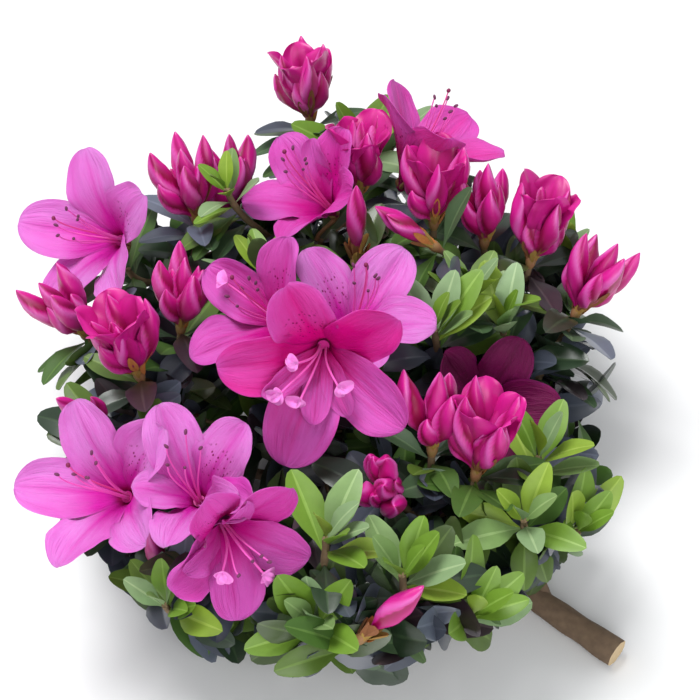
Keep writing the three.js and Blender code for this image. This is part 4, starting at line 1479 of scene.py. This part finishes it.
@dataclass
class Truss:
    """A cluster of closed buds on one shoot's tip, with the papery scales at its foot.

    At share s and angle a a bud's radius is profile(s) (1 + body(s) (ridge + fine + crumple) + oval). With
    saw the part after the point of a / pi + w s^1.6 + phase, the ridge is 0.42 (saw - 0.45)
    - 0.36 smooth(saw): two petal edges wind round the bud, each lying over the other. Fine and crumple are
    small sines of a and s, and the oval is 0.05 sin(2 a + 4 s + 6 phase). Body(s) keeps the folds off the
    bud's stalk.
    """

    PROFILE_SHARES = (0, 0.08, 0.16, 0.24, 0.36, 0.5, 0.64, 0.77, 0.88, 0.95, 1.0)
    STALK_RADII = (0.8, 0.75, 0.9)  # at the first three of those
    BODY_RADII = (0.5, 0.82, 1.0, 0.97, 0.78, 0.5, 0.27, 0.07)  # at the others, as shares of the bud's radius
    BOW = ((0.55, 0.35), (0.42, 0.68))  # how far out and how far along its line's two inner points lie
    ROOT_UP, ROOT_OUT = 2.2, 0.6  # a bud's root, up the truss's direction and out along the bud's own
    STALK, FULL_BUD = 6, 25  # the lengths of a bud's stalk and of a full-grown bud
    SPARSE = 2  # a truss of no more buds than this gets no outer ones
    OUTER_SIZE, OUTER_RADIUS = (0.42, 0.72), (2.8, 3.2)
    INNER_RADIUS = (3.3, 3.8)
    CORE_START, CORE_END = 1.0, 4.5  # of the scales' core, below and above the truss's foot
    CORE_RADII = (1.2, 1.7, 1.9, 1.7, 1.0)
    SCALES = 9

    shoot: Shoot
    draw: SeededDraws
    seed: int
    around: int = 30
    rings: int = 22
    extra: int = 4
    clearance: float = 1.1
    shares: tuple[float, ...] = (1.0, 0.85, 0.7)

    def bud(
        self, root: np.ndarray, along: np.ndarray, axis: np.ndarray, length: float, radius: float,
        phase: float,
    ) -> tuple[np.ndarray, np.ndarray, np.ndarray, np.ndarray]:
        """One bud, with how deep in a fold each point lies, for painted shade, and how near a petal's edge,
        for a painted highlight.

        Args:
            root: where its stalk starts.
            along: the direction from its root to its tip.
            axis: the truss's own direction, towards which it bows.
            length: stalk and bud together.
            radius: its largest radius.
            phase: turns the folds.

        Returns:
            Points, faces, the folds' painted shade and the edges' painted highlight.
        """
        shares = np.linspace(0, 1, self.rings)
        widths = np.concatenate([self.STALK_RADII, np.array(self.BODY_RADII) * radius])
        profile = np.interp(shares, self.PROFILE_SHARES, widths)[:, None]
        s, a = shares[:, None], np.linspace(0, 2 * np.pi, self.around, endpoint=False)[None]
        wind = 0.9 if math.sin(9 * phase) > -0.4 else -0.7
        saw = (2 * a / (2 * np.pi) + wind * s**1.6 + phase) % 1.0
        body = smooth(s, 0.2, 0.4)
        ridge = 0.42 * (saw - 0.45) - 0.36 * smooth(saw, 0.84, 1.0)
        fine = 0.035 * np.sin(5 * a + 5 * wind * s + phase)
        crumple = 0.07 * np.sin(4 * a + 9 * s + 5 * phase) * np.sin(13 * s + 3 * phase)
        oval = 0.05 * np.sin(2 * a + 4 * s + 6 * phase)
        outward = along - axis * np.dot(along, axis)
        inner = [root + (along + out * outward) * length * share for out, share in self.BOW]
        line = bezier(root, *inner, root + along * length)
        points, faces = tube(line, profile * (1 + body * (ridge + fine + crumple) + oval), self.around)
        cast = 0.24 * math.sin(23 * phase) + 0.3 * (1 - smooth(s, 0.2, 0.75))
        # painted shade, deepest just past each overlapping petal's edge; the cast, which varies from bud to
        # bud and is deeper towards the base, is the bud's own colour
        fold = np.clip(1.0 - smooth(saw, 0.0, 0.6) - 0.3 * smooth(s, 0.6, 1) + cast, 0, 1)
        # painted highlight in a thin band along each overlapping petal's edge
        lip_highlight = 0.75 * smooth(saw, 0.66, 0.80) * (1 - smooth(saw, 0.86, 0.95)) * body * (0.3 + 0.7 * s)
        fold_ends, lip_highlight_ends = (1.0, 0.2), (0.0, 0.3)  # at the points that close the stalk and the tip
        return points, faces, np.append(fold, fold_ends), np.append(lip_highlight, lip_highlight_ends)

    def opening(self, root: np.ndarray, along: np.ndarray, length: float, buds: Sheaf) -> None:
        """Adds a flower that is just opening: five short petals in a narrow funnel.

        Args:
            root: where its tube starts.
            along: the way it faces.
            length: the whole flower's.
            buds: this truss's own piece.
        """
        faces = (math.degrees(math.acos(along[2])), math.degrees(math.atan2(along[1], along[0])))
        throat = tuple(root + along * (length - 11))
        bloom = Bloom(throat, faces, 40.0 * self.seed, (0.6, 0.5, 0.55, 0.6, 0.5), 25, spots=0.0)
        Flower(bloom, root, along, self.seed).corolla(buds)

    def clinging_scale(
        self, root: np.ndarray, along: np.ndarray, axis: np.ndarray, length: float, radius: float
    ) -> Leaf:
        """A papery scale that still hugs the outer side of a bud.

        Args:
            root: the bud's root.
            along: the bud's direction.
            axis: the truss's own direction.
            length: the bud's length.
            radius: the bud's radius.

        Returns:
            The scale.
        """
        out = unit(along - axis * np.dot(along, axis))
        way = along * 0.55 * length + out * (1.15 * radius + 0.6)
        long = float(np.linalg.norm(way))
        tone = self.seed % 2
        return Leaf(root + out * 0.9, way / long, out, long, 0.8 * radius, LeafAge.YOUNG, tone, 0.06, 0.5)

    def place(self, k: int, turn: float, rng: np.random.Generator) -> tuple[float, float]:
        """Where a bud stands in the truss: the first in the middle, and those past its count between the
        others and further out.

        Args:
            k: the bud's number.
            turn: the truss's own turn, as a share.
            rng: deals out the variety.

        Returns:
            Its lean from the truss's direction and its angle round it, in degrees.
        """
        count = self.shoot.buds
        step = 360 / max(count - 1, 1)
        fan = 0 if k == 0 else 9 + 2 * count
        around = step * k + 40 * turn
        if k >= count:
            fan = fan + rng.uniform(-8, 16)
            return fan, around + step / 2 + rng.uniform(-24, 24)
        fan = abs(fan + rng.uniform(-4, 5))
        return fan, around + rng.uniform(-12, 12)

    def build(self, petals: KDTree, buds: Sheaf, scales: list[Leaf], stalks: Sheaf) -> None:
        """Adds the truss's buds, stalks and scales to their pieces; a bud that would meet a petal is
        made shorter, or left out.

        Args:
            petals: the points of the open flowers.
            buds: this truss's own piece.
            scales: takes the papery scales.
            stalks: takes the scales' core.
        """
        axis = heading(*self.shoot.lean)
        start = np.array(self.shoot.tip, dtype=float) + axis * GAP
        across = unit(np.cross(np.array([0.0, 1, 0]), axis))
        turn, count, size = self.draw(), self.shoot.buds, self.shoot.size
        rng = np.random.default_rng(self.seed)
        for k in range(count + self.extra * (count > self.SPARSE)):
            outer = k >= count
            fan, around = self.place(k, turn, rng)
            along = turned(turned(axis, across, fan), axis, around)
            root = start + self.ROOT_UP * axis + self.ROOT_OUT * along
            if outer:
                share = rng.uniform(*self.OUTER_SIZE)
            else:
                share = 0.85 + 0.2 * self.draw() - rng.uniform(0, 0.16)
            length = (self.STALK + self.FULL_BUD * share) * size
            radius = rng.uniform(*(self.OUTER_RADIUS if outer else self.INNER_RADIUS)) * size
            if k == 0 and self.shoot.opens:
                self.opening(root, along, length, buds)
                continue
            if k % 3 == 1:
                scales.append(self.clinging_scale(root, along, axis, length, radius))
            for shorten in self.shares:
                phase = 0.37 * k + turn
                points, faces, fold, lip_highlight = self.bud(root, along, axis, length * shorten, radius, phase)
                if min(petals.find(Vector(p))[2] for p in points[::7]) > self.clearance:
                    plain, chart = np.zeros(len(points)), np.zeros((len(points), 2))
                    # the folds' painted shade goes in as depth, and the painted highlight on the edges as
                    # blaze
                    buds.add(points, faces, 0, depth=fold, blaze=lip_highlight, vein=plain, petal=chart)
                    break
        core = Path(np.stack([start - axis * self.CORE_START, start + axis * self.CORE_END]))
        stalks.add(*tube(core, np.array(self.CORE_RADII), 8), 0)
        for k in range(self.SCALES):
            out = turned(across, axis, GOLDEN_ANGLE * k)
            along = unit(axis + out * rng.uniform(0.25, 0.8))
            root = start + axis * (0.2 + 0.4 * k) + out * 1.2
            long, wide = rng.uniform(5, 10), rng.uniform(2.6, 4.4)
            scales.append(Leaf(root, along, unit(axis - out), long, wide, LeafAge.YOUNG, k % 3, -0.12, 0.9))


@dataclass
class Crown:
    """The twigs and the leaves that grow on from the boughs, by the same rule as the masses' solids.

    A twig of length L has its taper times (1 + 0.12 sin(1.9 s L)^4) for its radius at share s, a small
    swelling at each old leaf scar. Its leaves follow each other round it by the golden angle.
    """

    RING_LENGTH, LEAST_RINGS, TWIG_AROUND = 1.3, 6, 9
    SWELLING, SCARS = 0.12, 1.9
    TRIES, TRY_TURN = 7, 51  # places tried for a leaf, and the degrees between them
    ROSETTE_BARE, ROSETTE_UNDER = 8, 6  # leaves in a rosette on a bare shoot, and under a bloom
    OLD_LENGTH = 23
    SOLID_TWIGS = 3  # the low twigs that the solids have too
    SHORTEN = (1.0, 0.8, 0.6)
    RESTING_TIP = 1.2  # the height of a low twig's tip where its clump rests
    DROOP, LEAST_HEIGHT = 8, 5
    EDGE = 0.92  # how far out in the crown a low twig may end

    wood: Wood
    blooms: KDTree
    leaves: Leaves = field(default_factory=Leaves)
    twigs: Sheaf = field(default_factory=Sheaf)
    low_twigs: int = 8

    def add_twig(self, path: Path, start: float, end: float) -> None:
        """Adds a twig with the small swellings of its old leaf scars.

        Args:
            path: its line.
            start: its radius at the start.
            end: its radius at the tip.
        """
        rings = max(int(path.length() / self.RING_LENGTH), self.LEAST_RINGS)
        s = np.linspace(0, 1, rings)
        scars = np.sin(path.length() * s * self.SCARS) ** 4
        radii = (start + (end - start) * s) * (1 + self.SWELLING * scars)
        self.twigs.add(*tube(path, radii, self.TWIG_AROUND))

    def side_twig(self, leader: Path, share: float, tip: np.ndarray, arrive: np.ndarray) -> Path:
        """A twig that sets out between its leader's direction and the straight way to its tip.

        Args:
            leader: the twig it grows from.
            share: where along that.
            tip: where it ends.
            arrive: its direction there.

        Returns:
            Its line.
        """
        start = leader.at(share)
        set_out = unit(leader.tangent(share) * 0.5 + unit(tip - start) * 0.5)
        return bent(start, tip, set_out, arrive)

    def try_leaf(
        self, path: Path, share: float, lean: float, around: float, length: float, age: LeafAge,
        rng: np.random.Generator, reach: float = 1.0, width_share: float = 0.4,
    ) -> bool:
        """Grows one leaf from a twig, at the first of a few places round it where it has room.

        Args:
            path: the twig.
            share: where along it.
            lean: the angle between leaf and twig.
            around: the first place round the twig.
            length: the leaf's length.
            age: which leaves it belongs to.
            rng: deals out its tone and its bends.
            reach: how far out in the crown it may end.
            width_share: its width as a share of its length.

        Returns:
            True if it found room.
        """
        axis = path.tangent(share)
        across = unit(np.cross(np.array([0.6, 0.8, 0]), axis))
        tones, odds = age.value
        tone = int(rng.choice(len(tones), p=odds))
        bend = rng.uniform(0.04, 0.26) if age is LeafAge.YOUNG else rng.uniform(0.08, 0.34)
        fold = rng.uniform(0.25, 0.5)
        for turn in range(self.TRIES):
            along = turned(turned(axis, across, lean), axis, around + self.TRY_TURN * turn)
            root = path.at(share) + along * 0.6
            facing = unit(axis + UP * 0.35 - along * np.dot(axis + UP * 0.35, along))
            leaf = Leaf(root, along, facing, length, length * width_share, age, tone, bend, fold)
            if self.leaves.fits(leaf, self.blooms, reach):
                self.leaves.leaves.append(leaf)
                return True
        return False

    def rosette(self, path: Path, shoot: Shoot, rng: np.random.Generator) -> None:
        """The leaves at a shoot's tip: upright young ones on a bare shoot, spreading ones under a bloom.

        Args:
            path: the twig.
            shoot: what ends it.
            rng: deals out their variety.
        """
        reach = path.length()
        for k in range(self.ROSETTE_BARE if shoot.bare else self.ROSETTE_UNDER):
            share = max(1 - (0.4 + 1.1 * k) / reach, 0.15)
            if shoot.bare:
                lean = 13 + 7.6 * k + rng.uniform(-5, 5)
                length = shoot.size * (16 + 1.7 * min(k, 5)) * rng.uniform(0.88, 1.14)
                age = LeafAge.YOUNG
            else:
                lean = 60 + rng.uniform(0, 18)
                length = 24 * rng.uniform(0.8, 1.1)
                age = LeafAge.MIDDLE if rng.uniform() < 0.6 else LeafAge.OLD
            self.try_leaf(path, share, lean, GOLDEN_ANGLE * k, length, age, rng)

    def lower_leaves(
        self, path: Path, shares: np.ndarray, rng: np.random.Generator, middle: float
    ) -> None:
        """Older leaves along a twig.

        Args:
            path: the twig.
            shares: where along it they stand.
            rng: deals out their variety.
            middle: the odds of a middle-aged leaf.
        """
        for k, share in enumerate(shares):
            age = LeafAge.MIDDLE if rng.uniform() < middle else LeafAge.OLD
            length = self.OLD_LENGTH * rng.uniform(0.8, 1.15)
            lean, around = rng.uniform(58, 92), GOLDEN_ANGLE * k + 40
            self.try_leaf(path, float(share), lean, around, length, age, rng, 0.99, 0.46)

    def grow(self, clump: Clump, number: int) -> None:
        """One clump: its leader and twigs, then its leaves, tips first.

        Args:
            clump: the clump.
            number: its place in the list, which seeds its draws.
        """
        draw = SeededDraws(number + 1)
        rng = np.random.default_rng(700 + number)
        limb = self.wood.limbs[clump.name]
        arrive = limb.tangent(1.0)
        foot = limb.at(1.0)
        tip, along = np.array(clump.shoots[0].tip, dtype=float), shoot_axis(clump, clump.shoots[0])
        leader = bent(foot - arrive * 0.6, tip, arrive, along)
        self.add_twig(leader, BOUGH_TIP_RADIUS, TWIG_RADIUS * 0.85)
        shoots = [(leader, clump.shoots[0])]
        for index, shoot in enumerate(clump.shoots[1:], start=1):
            share, tip = 0.12 + 0.08 * index, np.array(shoot.tip, dtype=float)
            path = self.side_twig(leader, share, tip, shoot_axis(clump, shoot))
            self.add_twig(path, TWIG_RADIUS, TWIG_RADIUS * 0.85)
            shoots.append((path, shoot))
        low = self.low_paths(clump, leader, draw, rng)
        for path, shoot in shoots:
            self.rosette(path, shoot, rng)
        for path, shoot in shoots:
            shares = 1 - np.linspace(11, 0.72 * path.length(), 9) / path.length()
            self.lower_leaves(path, shares, rng, 0.36 if shoot.bare else 0.16)
        for path in low:
            self.add_twig(path, TWIG_RADIUS * 0.8, TWIG_RADIUS * 0.5)
            self.lower_leaves(path, np.linspace(1.0, 0.2, 10), rng, 0.2)

    def low_paths(
        self, clump: Clump, leader: Path, draw: SeededDraws, rng: np.random.Generator
    ) -> list[Path]:
        """The leafy side twigs low on a clump: three as in the solids, then finer ones between them.

        Args:
            clump: the clump.
            leader: its leader.
            draw: the solids' own draws.
            rng: deals out the finer twigs.

        Returns:
            Their lines.
        """
        outward = math.degrees(math.atan2(clump.foot[1], clump.foot[0]))
        paths = []
        for k in range(self.low_twigs):
            if k < self.SOLID_TWIGS:
                lean, compass = 78 + 14 * draw(), outward + 120 * k + 30 * draw()
                share, reach = 0.08 + 0.16 * draw(), clump.spread * (0.6 + 0.2 * draw())
            else:
                lean = rng.uniform(60, 88)
                compass = outward + 60 + 120 * k + 47 * (k // 3) + rng.uniform(-15, 15)
                share, reach = rng.uniform(0.15, 0.6), clump.spread * rng.uniform(0.45, 0.75)
            axis = heading(lean, compass)
            for shorten in self.SHORTEN:
                tip = leader.at(share) + axis * reach * shorten
                lowest = clump.rests and k == 0
                tip[2] = self.RESTING_TIP if lowest else max(tip[2] - self.DROOP, self.LEAST_HEIGHT)
                if outward_share(tip) < self.EDGE:
                    paths.append(self.side_twig(leader, share, tip, axis))
                    break
        return paths

    def build(self) -> list[bpy.types.Object]:
        """Grows every clump and makes the crown's pieces.

        Returns:
            The three pieces of leaves and the joined twigs.
        """
        for number, clump in enumerate(CLUMPS):
            self.grow(clump, number)
        nodes = [f"foliage_{clump.name}" for clump in CLUMPS]
        bark = Finish("twig_bark", (0.24, 0.16, 0.09), (0.13, 0.09, 0.05), 500, Gloss.DULL, bump=0.4)
        made = self.leaves.build(nodes)
        made.append(self.twigs.piece("twigs", [bark.material()], "bark", nodes))
        return made


@dataclass
class Blossom:
    """All the open flowers and the bud trusses, and the small pieces that go with them."""

    stalks: Sheaf = field(default_factory=Sheaf)
    filaments: Sheaf = field(default_factory=Sheaf)
    anthers: Sheaf = field(default_factory=Sheaf)
    petaloids: list[Leaf] = field(default_factory=list)
    scales: list[Leaf] = field(default_factory=list)
    points: list[np.ndarray] = field(default_factory=list)

    def bud_material(self) -> bpy.types.Material:
        """The closed buds' finish, deeper and redder than an open petal's, with painted shade in the folds
        and a painted highlight along the petals' edges.

        Returns:
            The material.
        """
        # deep is the colour of the folds' painted shade, and spot that of the painted highlight on the
        # petals' edges
        return PetalFinish(
            "bud_crimson_magenta", (0.60, 0.014, 0.29), (0.50, 0.001, 0.175), 160, Gloss.SILKY, glow=0.06,
            bump=0.25, deep=(0.25, 0.0, 0.05), spot=(0.66, 0.15, 0.50), crease_shade=0.0, spotted=False,
        ).material()

    def build(self) -> list[bpy.types.Object]:
        """Makes every flower and truss as its own piece, then the joined small pieces.

        Returns:
            All of them.
        """
        made = []
        petals, bud = {tint: tint.finish() for tint in Tint}, self.bud_material()
        for clump in CLUMPS:
            for shoot in clump.shoots:
                axis = shoot_axis(clump, shoot)
                for k, name in enumerate(shoot.flowers):
                    made.append(self.flower(name, shoot, axis, k, petals[BLOOMS[name].tint]))
        tree = self.tree()
        seed = 0
        for number, clump in enumerate(CLUMPS):
            draw = SeededDraws(100 + number)
            for place, shoot in enumerate(clump.shoots, start=1):
                seed += 1
                if shoot.buds:
                    made.append(self.truss(f"{clump.name}_{place}", Truss(shoot, draw, seed), bud, tree))
        return made + self.small_pieces()

    def flower(
        self, name: str, shoot: Shoot, axis: np.ndarray, k: int, finish: bpy.types.Material
    ) -> bpy.types.Object:
        """One open flower.

        Args:
            name: its name in BLOOMS.
            shoot: the shoot it grows from.
            axis: the shoot's direction.
            k: its number on the shoot.
            finish: the petals' material.

        Returns:
            Its corolla.
        """
        bloom = BLOOMS[name]
        tip = np.array(shoot.tip, dtype=float)
        out = unit((np.array(bloom.throat) - tip) * LEVEL)
        start = tip + axis * (GAP + 0.1 * k) + out * 1.4
        flower = Flower(bloom, start, axis, 40 + len(name) + 7 * k)
        corolla = Sheaf()
        flower.corolla(corolla)
        flower.stamens(self.filaments, self.anthers)
        flower.tassels(self.filaments, self.petaloids)
        flower.stalk(self.stalks)
        inner_sides = [block[0][: len(block[0]) // 2 : 2] for block in corolla.blocks]
        self.points.append(np.vstack(inner_sides))
        return corolla.piece(f"petals_{name}", [finish], "petal", [f"flower_{name}"])

    def truss(self, name: str, truss: Truss, finish: bpy.types.Material, petals: KDTree) -> bpy.types.Object:
        """One truss of buds.

        Args:
            name: its clump and shoot.
            truss: its form.
            finish: the buds' material.
            petals: the points of the open flowers.

        Returns:
            Its buds.
        """
        buds = Sheaf()
        truss.build(petals, buds, self.scales, self.stalks)
        self.points.append(np.vstack([block[0][::4] for block in buds.blocks]))
        return buds.piece(f"truss_{name}", [finish], "bud", [f"buds_{name}"])

    def small_pieces(self) -> list[bpy.types.Object]:
        """Makes the stalks, filaments, anthers, petal-like stamens' blades and scales, each kind joined.

        Returns:
            One piece of each kind.
        """
        green = Finish("stalk_green", (0.22, 0.20, 0.05), (0.35, 0.10, 0.08), 300)
        flesh = Finish("tube_magenta", (0.52, 0.008, 0.24), (0.44, 0.004, 0.18), 300, glow=0.2)
        pale = Finish("filament_pink", (0.82, 0.15, 0.55), (0.78, 0.08, 0.43), 300, glow=0.2)
        red = Finish("style_rose", (0.80, 0.10, 0.38), (0.75, 0.06, 0.30), 300)
        dark = Finish("anther_plum", (0.10, 0.02, 0.07), (0.20, 0.05, 0.12), 900, Gloss.DULL)
        stigma = Finish("stigma_wine", (0.22, 0.01, 0.08), (0.15, 0.01, 0.05), 900)
        light = PetalFinish(
            "petaloid_pink", (0.84, 0.27, 0.70), (0.80, 0.16, 0.58), 400, Gloss.VELVET, glow=0.3
        )
        made = [
            self.stalks.piece("flower_stalks", [green.material(), flesh.material()], "bud", []),
            self.filaments.piece("filaments", [pale.material(), red.material()], "petal", []),
            self.anthers.piece("anthers", [dark.material(), stigma.material()], "petal", []),
        ]
        petaloids = Sheaf()
        petaloids.add(*Leaves(thickness=0.35, blunt=0.5).block(self.petaloids))
        made.append(petaloids.piece("petaloids", [light.material(), light.material()], "petal", []))
        tan = Finish("scale_tan", (0.62, 0.25, 0.07), (0.42, 0.13, 0.035), 600, Gloss.DULL)
        brown = Finish("scale_brown", (0.30, 0.12, 0.045), (0.17, 0.06, 0.03), 600, Gloss.DULL)
        olive = Finish("scale_olive", (0.33, 0.27, 0.06), (0.36, 0.14, 0.04), 600, Gloss.DULL)
        scales = Sheaf()
        scales.add(*Leaves(rings=5, thickness=0.3).block(self.scales))
        finishes = [finish.material() for finish in (tan, tan, brown, brown, olive, olive)]
        made.append(scales.piece("bud_scales", finishes, "bud", []))
        return made

    def tree(self) -> KDTree:
        """Sorts the flowers' and buds' points made so far, for buds and leaves to keep off.

        Returns:
            The tree to look them up in.
        """
        points = np.vstack(self.points)
        tree = KDTree(len(points))
        for i, p in enumerate(points):
            tree.insert(Vector(p), i)
        tree.balance()
        return tree


@dataclass(frozen=True)
class Studio:
    """A plain pale floor, a soft studio light and the camera. Lengths are in metres, but the lens's are in
    millimetres."""

    FLOOR_SIZE, FLOOR_DROP, FLOOR_GREY, FLOOR_ROUGHNESS = 6, 0.0003, 0.82, 0.9
    LAMPS = (  # name, place, size, watts
        ("sky_panel", (-0.25, 0.15, 0.9), 0.5, 9.5),
        ("front_panel", (0.2, -0.85, 0.55), 0.7, 6.0),
    )
    SKY_COLOUR, SKY_STRENGTH = (0.93, 0.96, 1.0, 1), 0.45
    SENSOR = 36.0  # millimetres

    target: tuple[float, float, float] = (0.0097, 0.0037, 0.045)
    elevation: float = 48.0
    distance: float = 0.72
    lens: float = 112.5

    def floor(self) -> bpy.types.Object:
        """Lays the floor, just under the branch.

        Returns:
            Its plane.
        """
        bpy.ops.mesh.primitive_plane_add(size=self.FLOOR_SIZE, location=(0, 0, -self.FLOOR_DROP))
        floor = bpy.context.object
        floor.name = "floor"
        material = bpy.data.materials.new("floor_pale")
        material.use_nodes = True
        surface = material.node_tree.nodes["Principled BSDF"]
        surface.inputs["Base Color"].default_value = (self.FLOOR_GREY,) * 3 + (1,)
        surface.inputs["Roughness"].default_value = self.FLOOR_ROUGHNESS
        floor.data.materials.append(material)
        return floor

    def lamp(self, name: str, place: tuple[float, float, float], size: float, watts: float) -> None:
        """Sets up one soft square light that looks at the branch.

        Args:
            name: its name.
            place: where it hangs.
            size: the length of its side.
            watts: its power.
        """
        light = bpy.data.lights.new(name, "AREA")
        light.size, light.energy = size, watts
        lamp = bpy.data.objects.new(name, light)
        lamp.location = place
        lamp.rotation_euler = (Vector(self.target) - Vector(place)).to_track_quat("-Z", "Y").to_euler()
        bpy.context.collection.objects.link(lamp)

    def camera(self, scene: bpy.types.Scene) -> None:
        """Sets up the camera, which looks at the target from the front and above.

        Args:
            scene: the scene that it takes in.
        """
        angle = math.radians(self.elevation)
        back = Vector((0, -math.cos(angle), math.sin(angle)))
        data = bpy.data.cameras.new("camera")
        data.sensor_width, data.lens = self.SENSOR, self.lens
        camera = bpy.data.objects.new("camera", data)
        camera.location = Vector(self.target) + back * self.distance
        camera.rotation_euler = (-back).to_track_quat("-Z", "Y").to_euler()
        bpy.context.collection.objects.link(camera)
        scene.camera = camera

    def build(self) -> None:
        """Sets up the floor, the lights, the sky, the camera and the colour management."""
        self.floor()
        for lamp in self.LAMPS:
            self.lamp(*lamp)
        scene = bpy.context.scene
        world = bpy.data.worlds.new("studio")
        scene.world = world
        world.use_nodes = True
        sky = world.node_tree.nodes["Background"]
        sky.inputs["Color"].default_value = self.SKY_COLOUR
        sky.inputs["Strength"].default_value = self.SKY_STRENGTH
        self.camera(scene)
        scene.view_settings.view_transform = "Standard"
        scene.view_settings.exposure = 0.0


def main() -> None:
    """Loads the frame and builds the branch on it."""
    logging.basicConfig(level=logging.INFO, format="%(message)s")
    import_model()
    wood = Wood()
    wood.grow()
    pieces = wood.build()
    blossom = Blossom()
    pieces += blossom.build()
    pieces += Crown(wood, blossom.tree()).build()
    LOG.info("%d pieces", len(pieces))
    Studio().build()


if __name__ == "__main__":
    main()
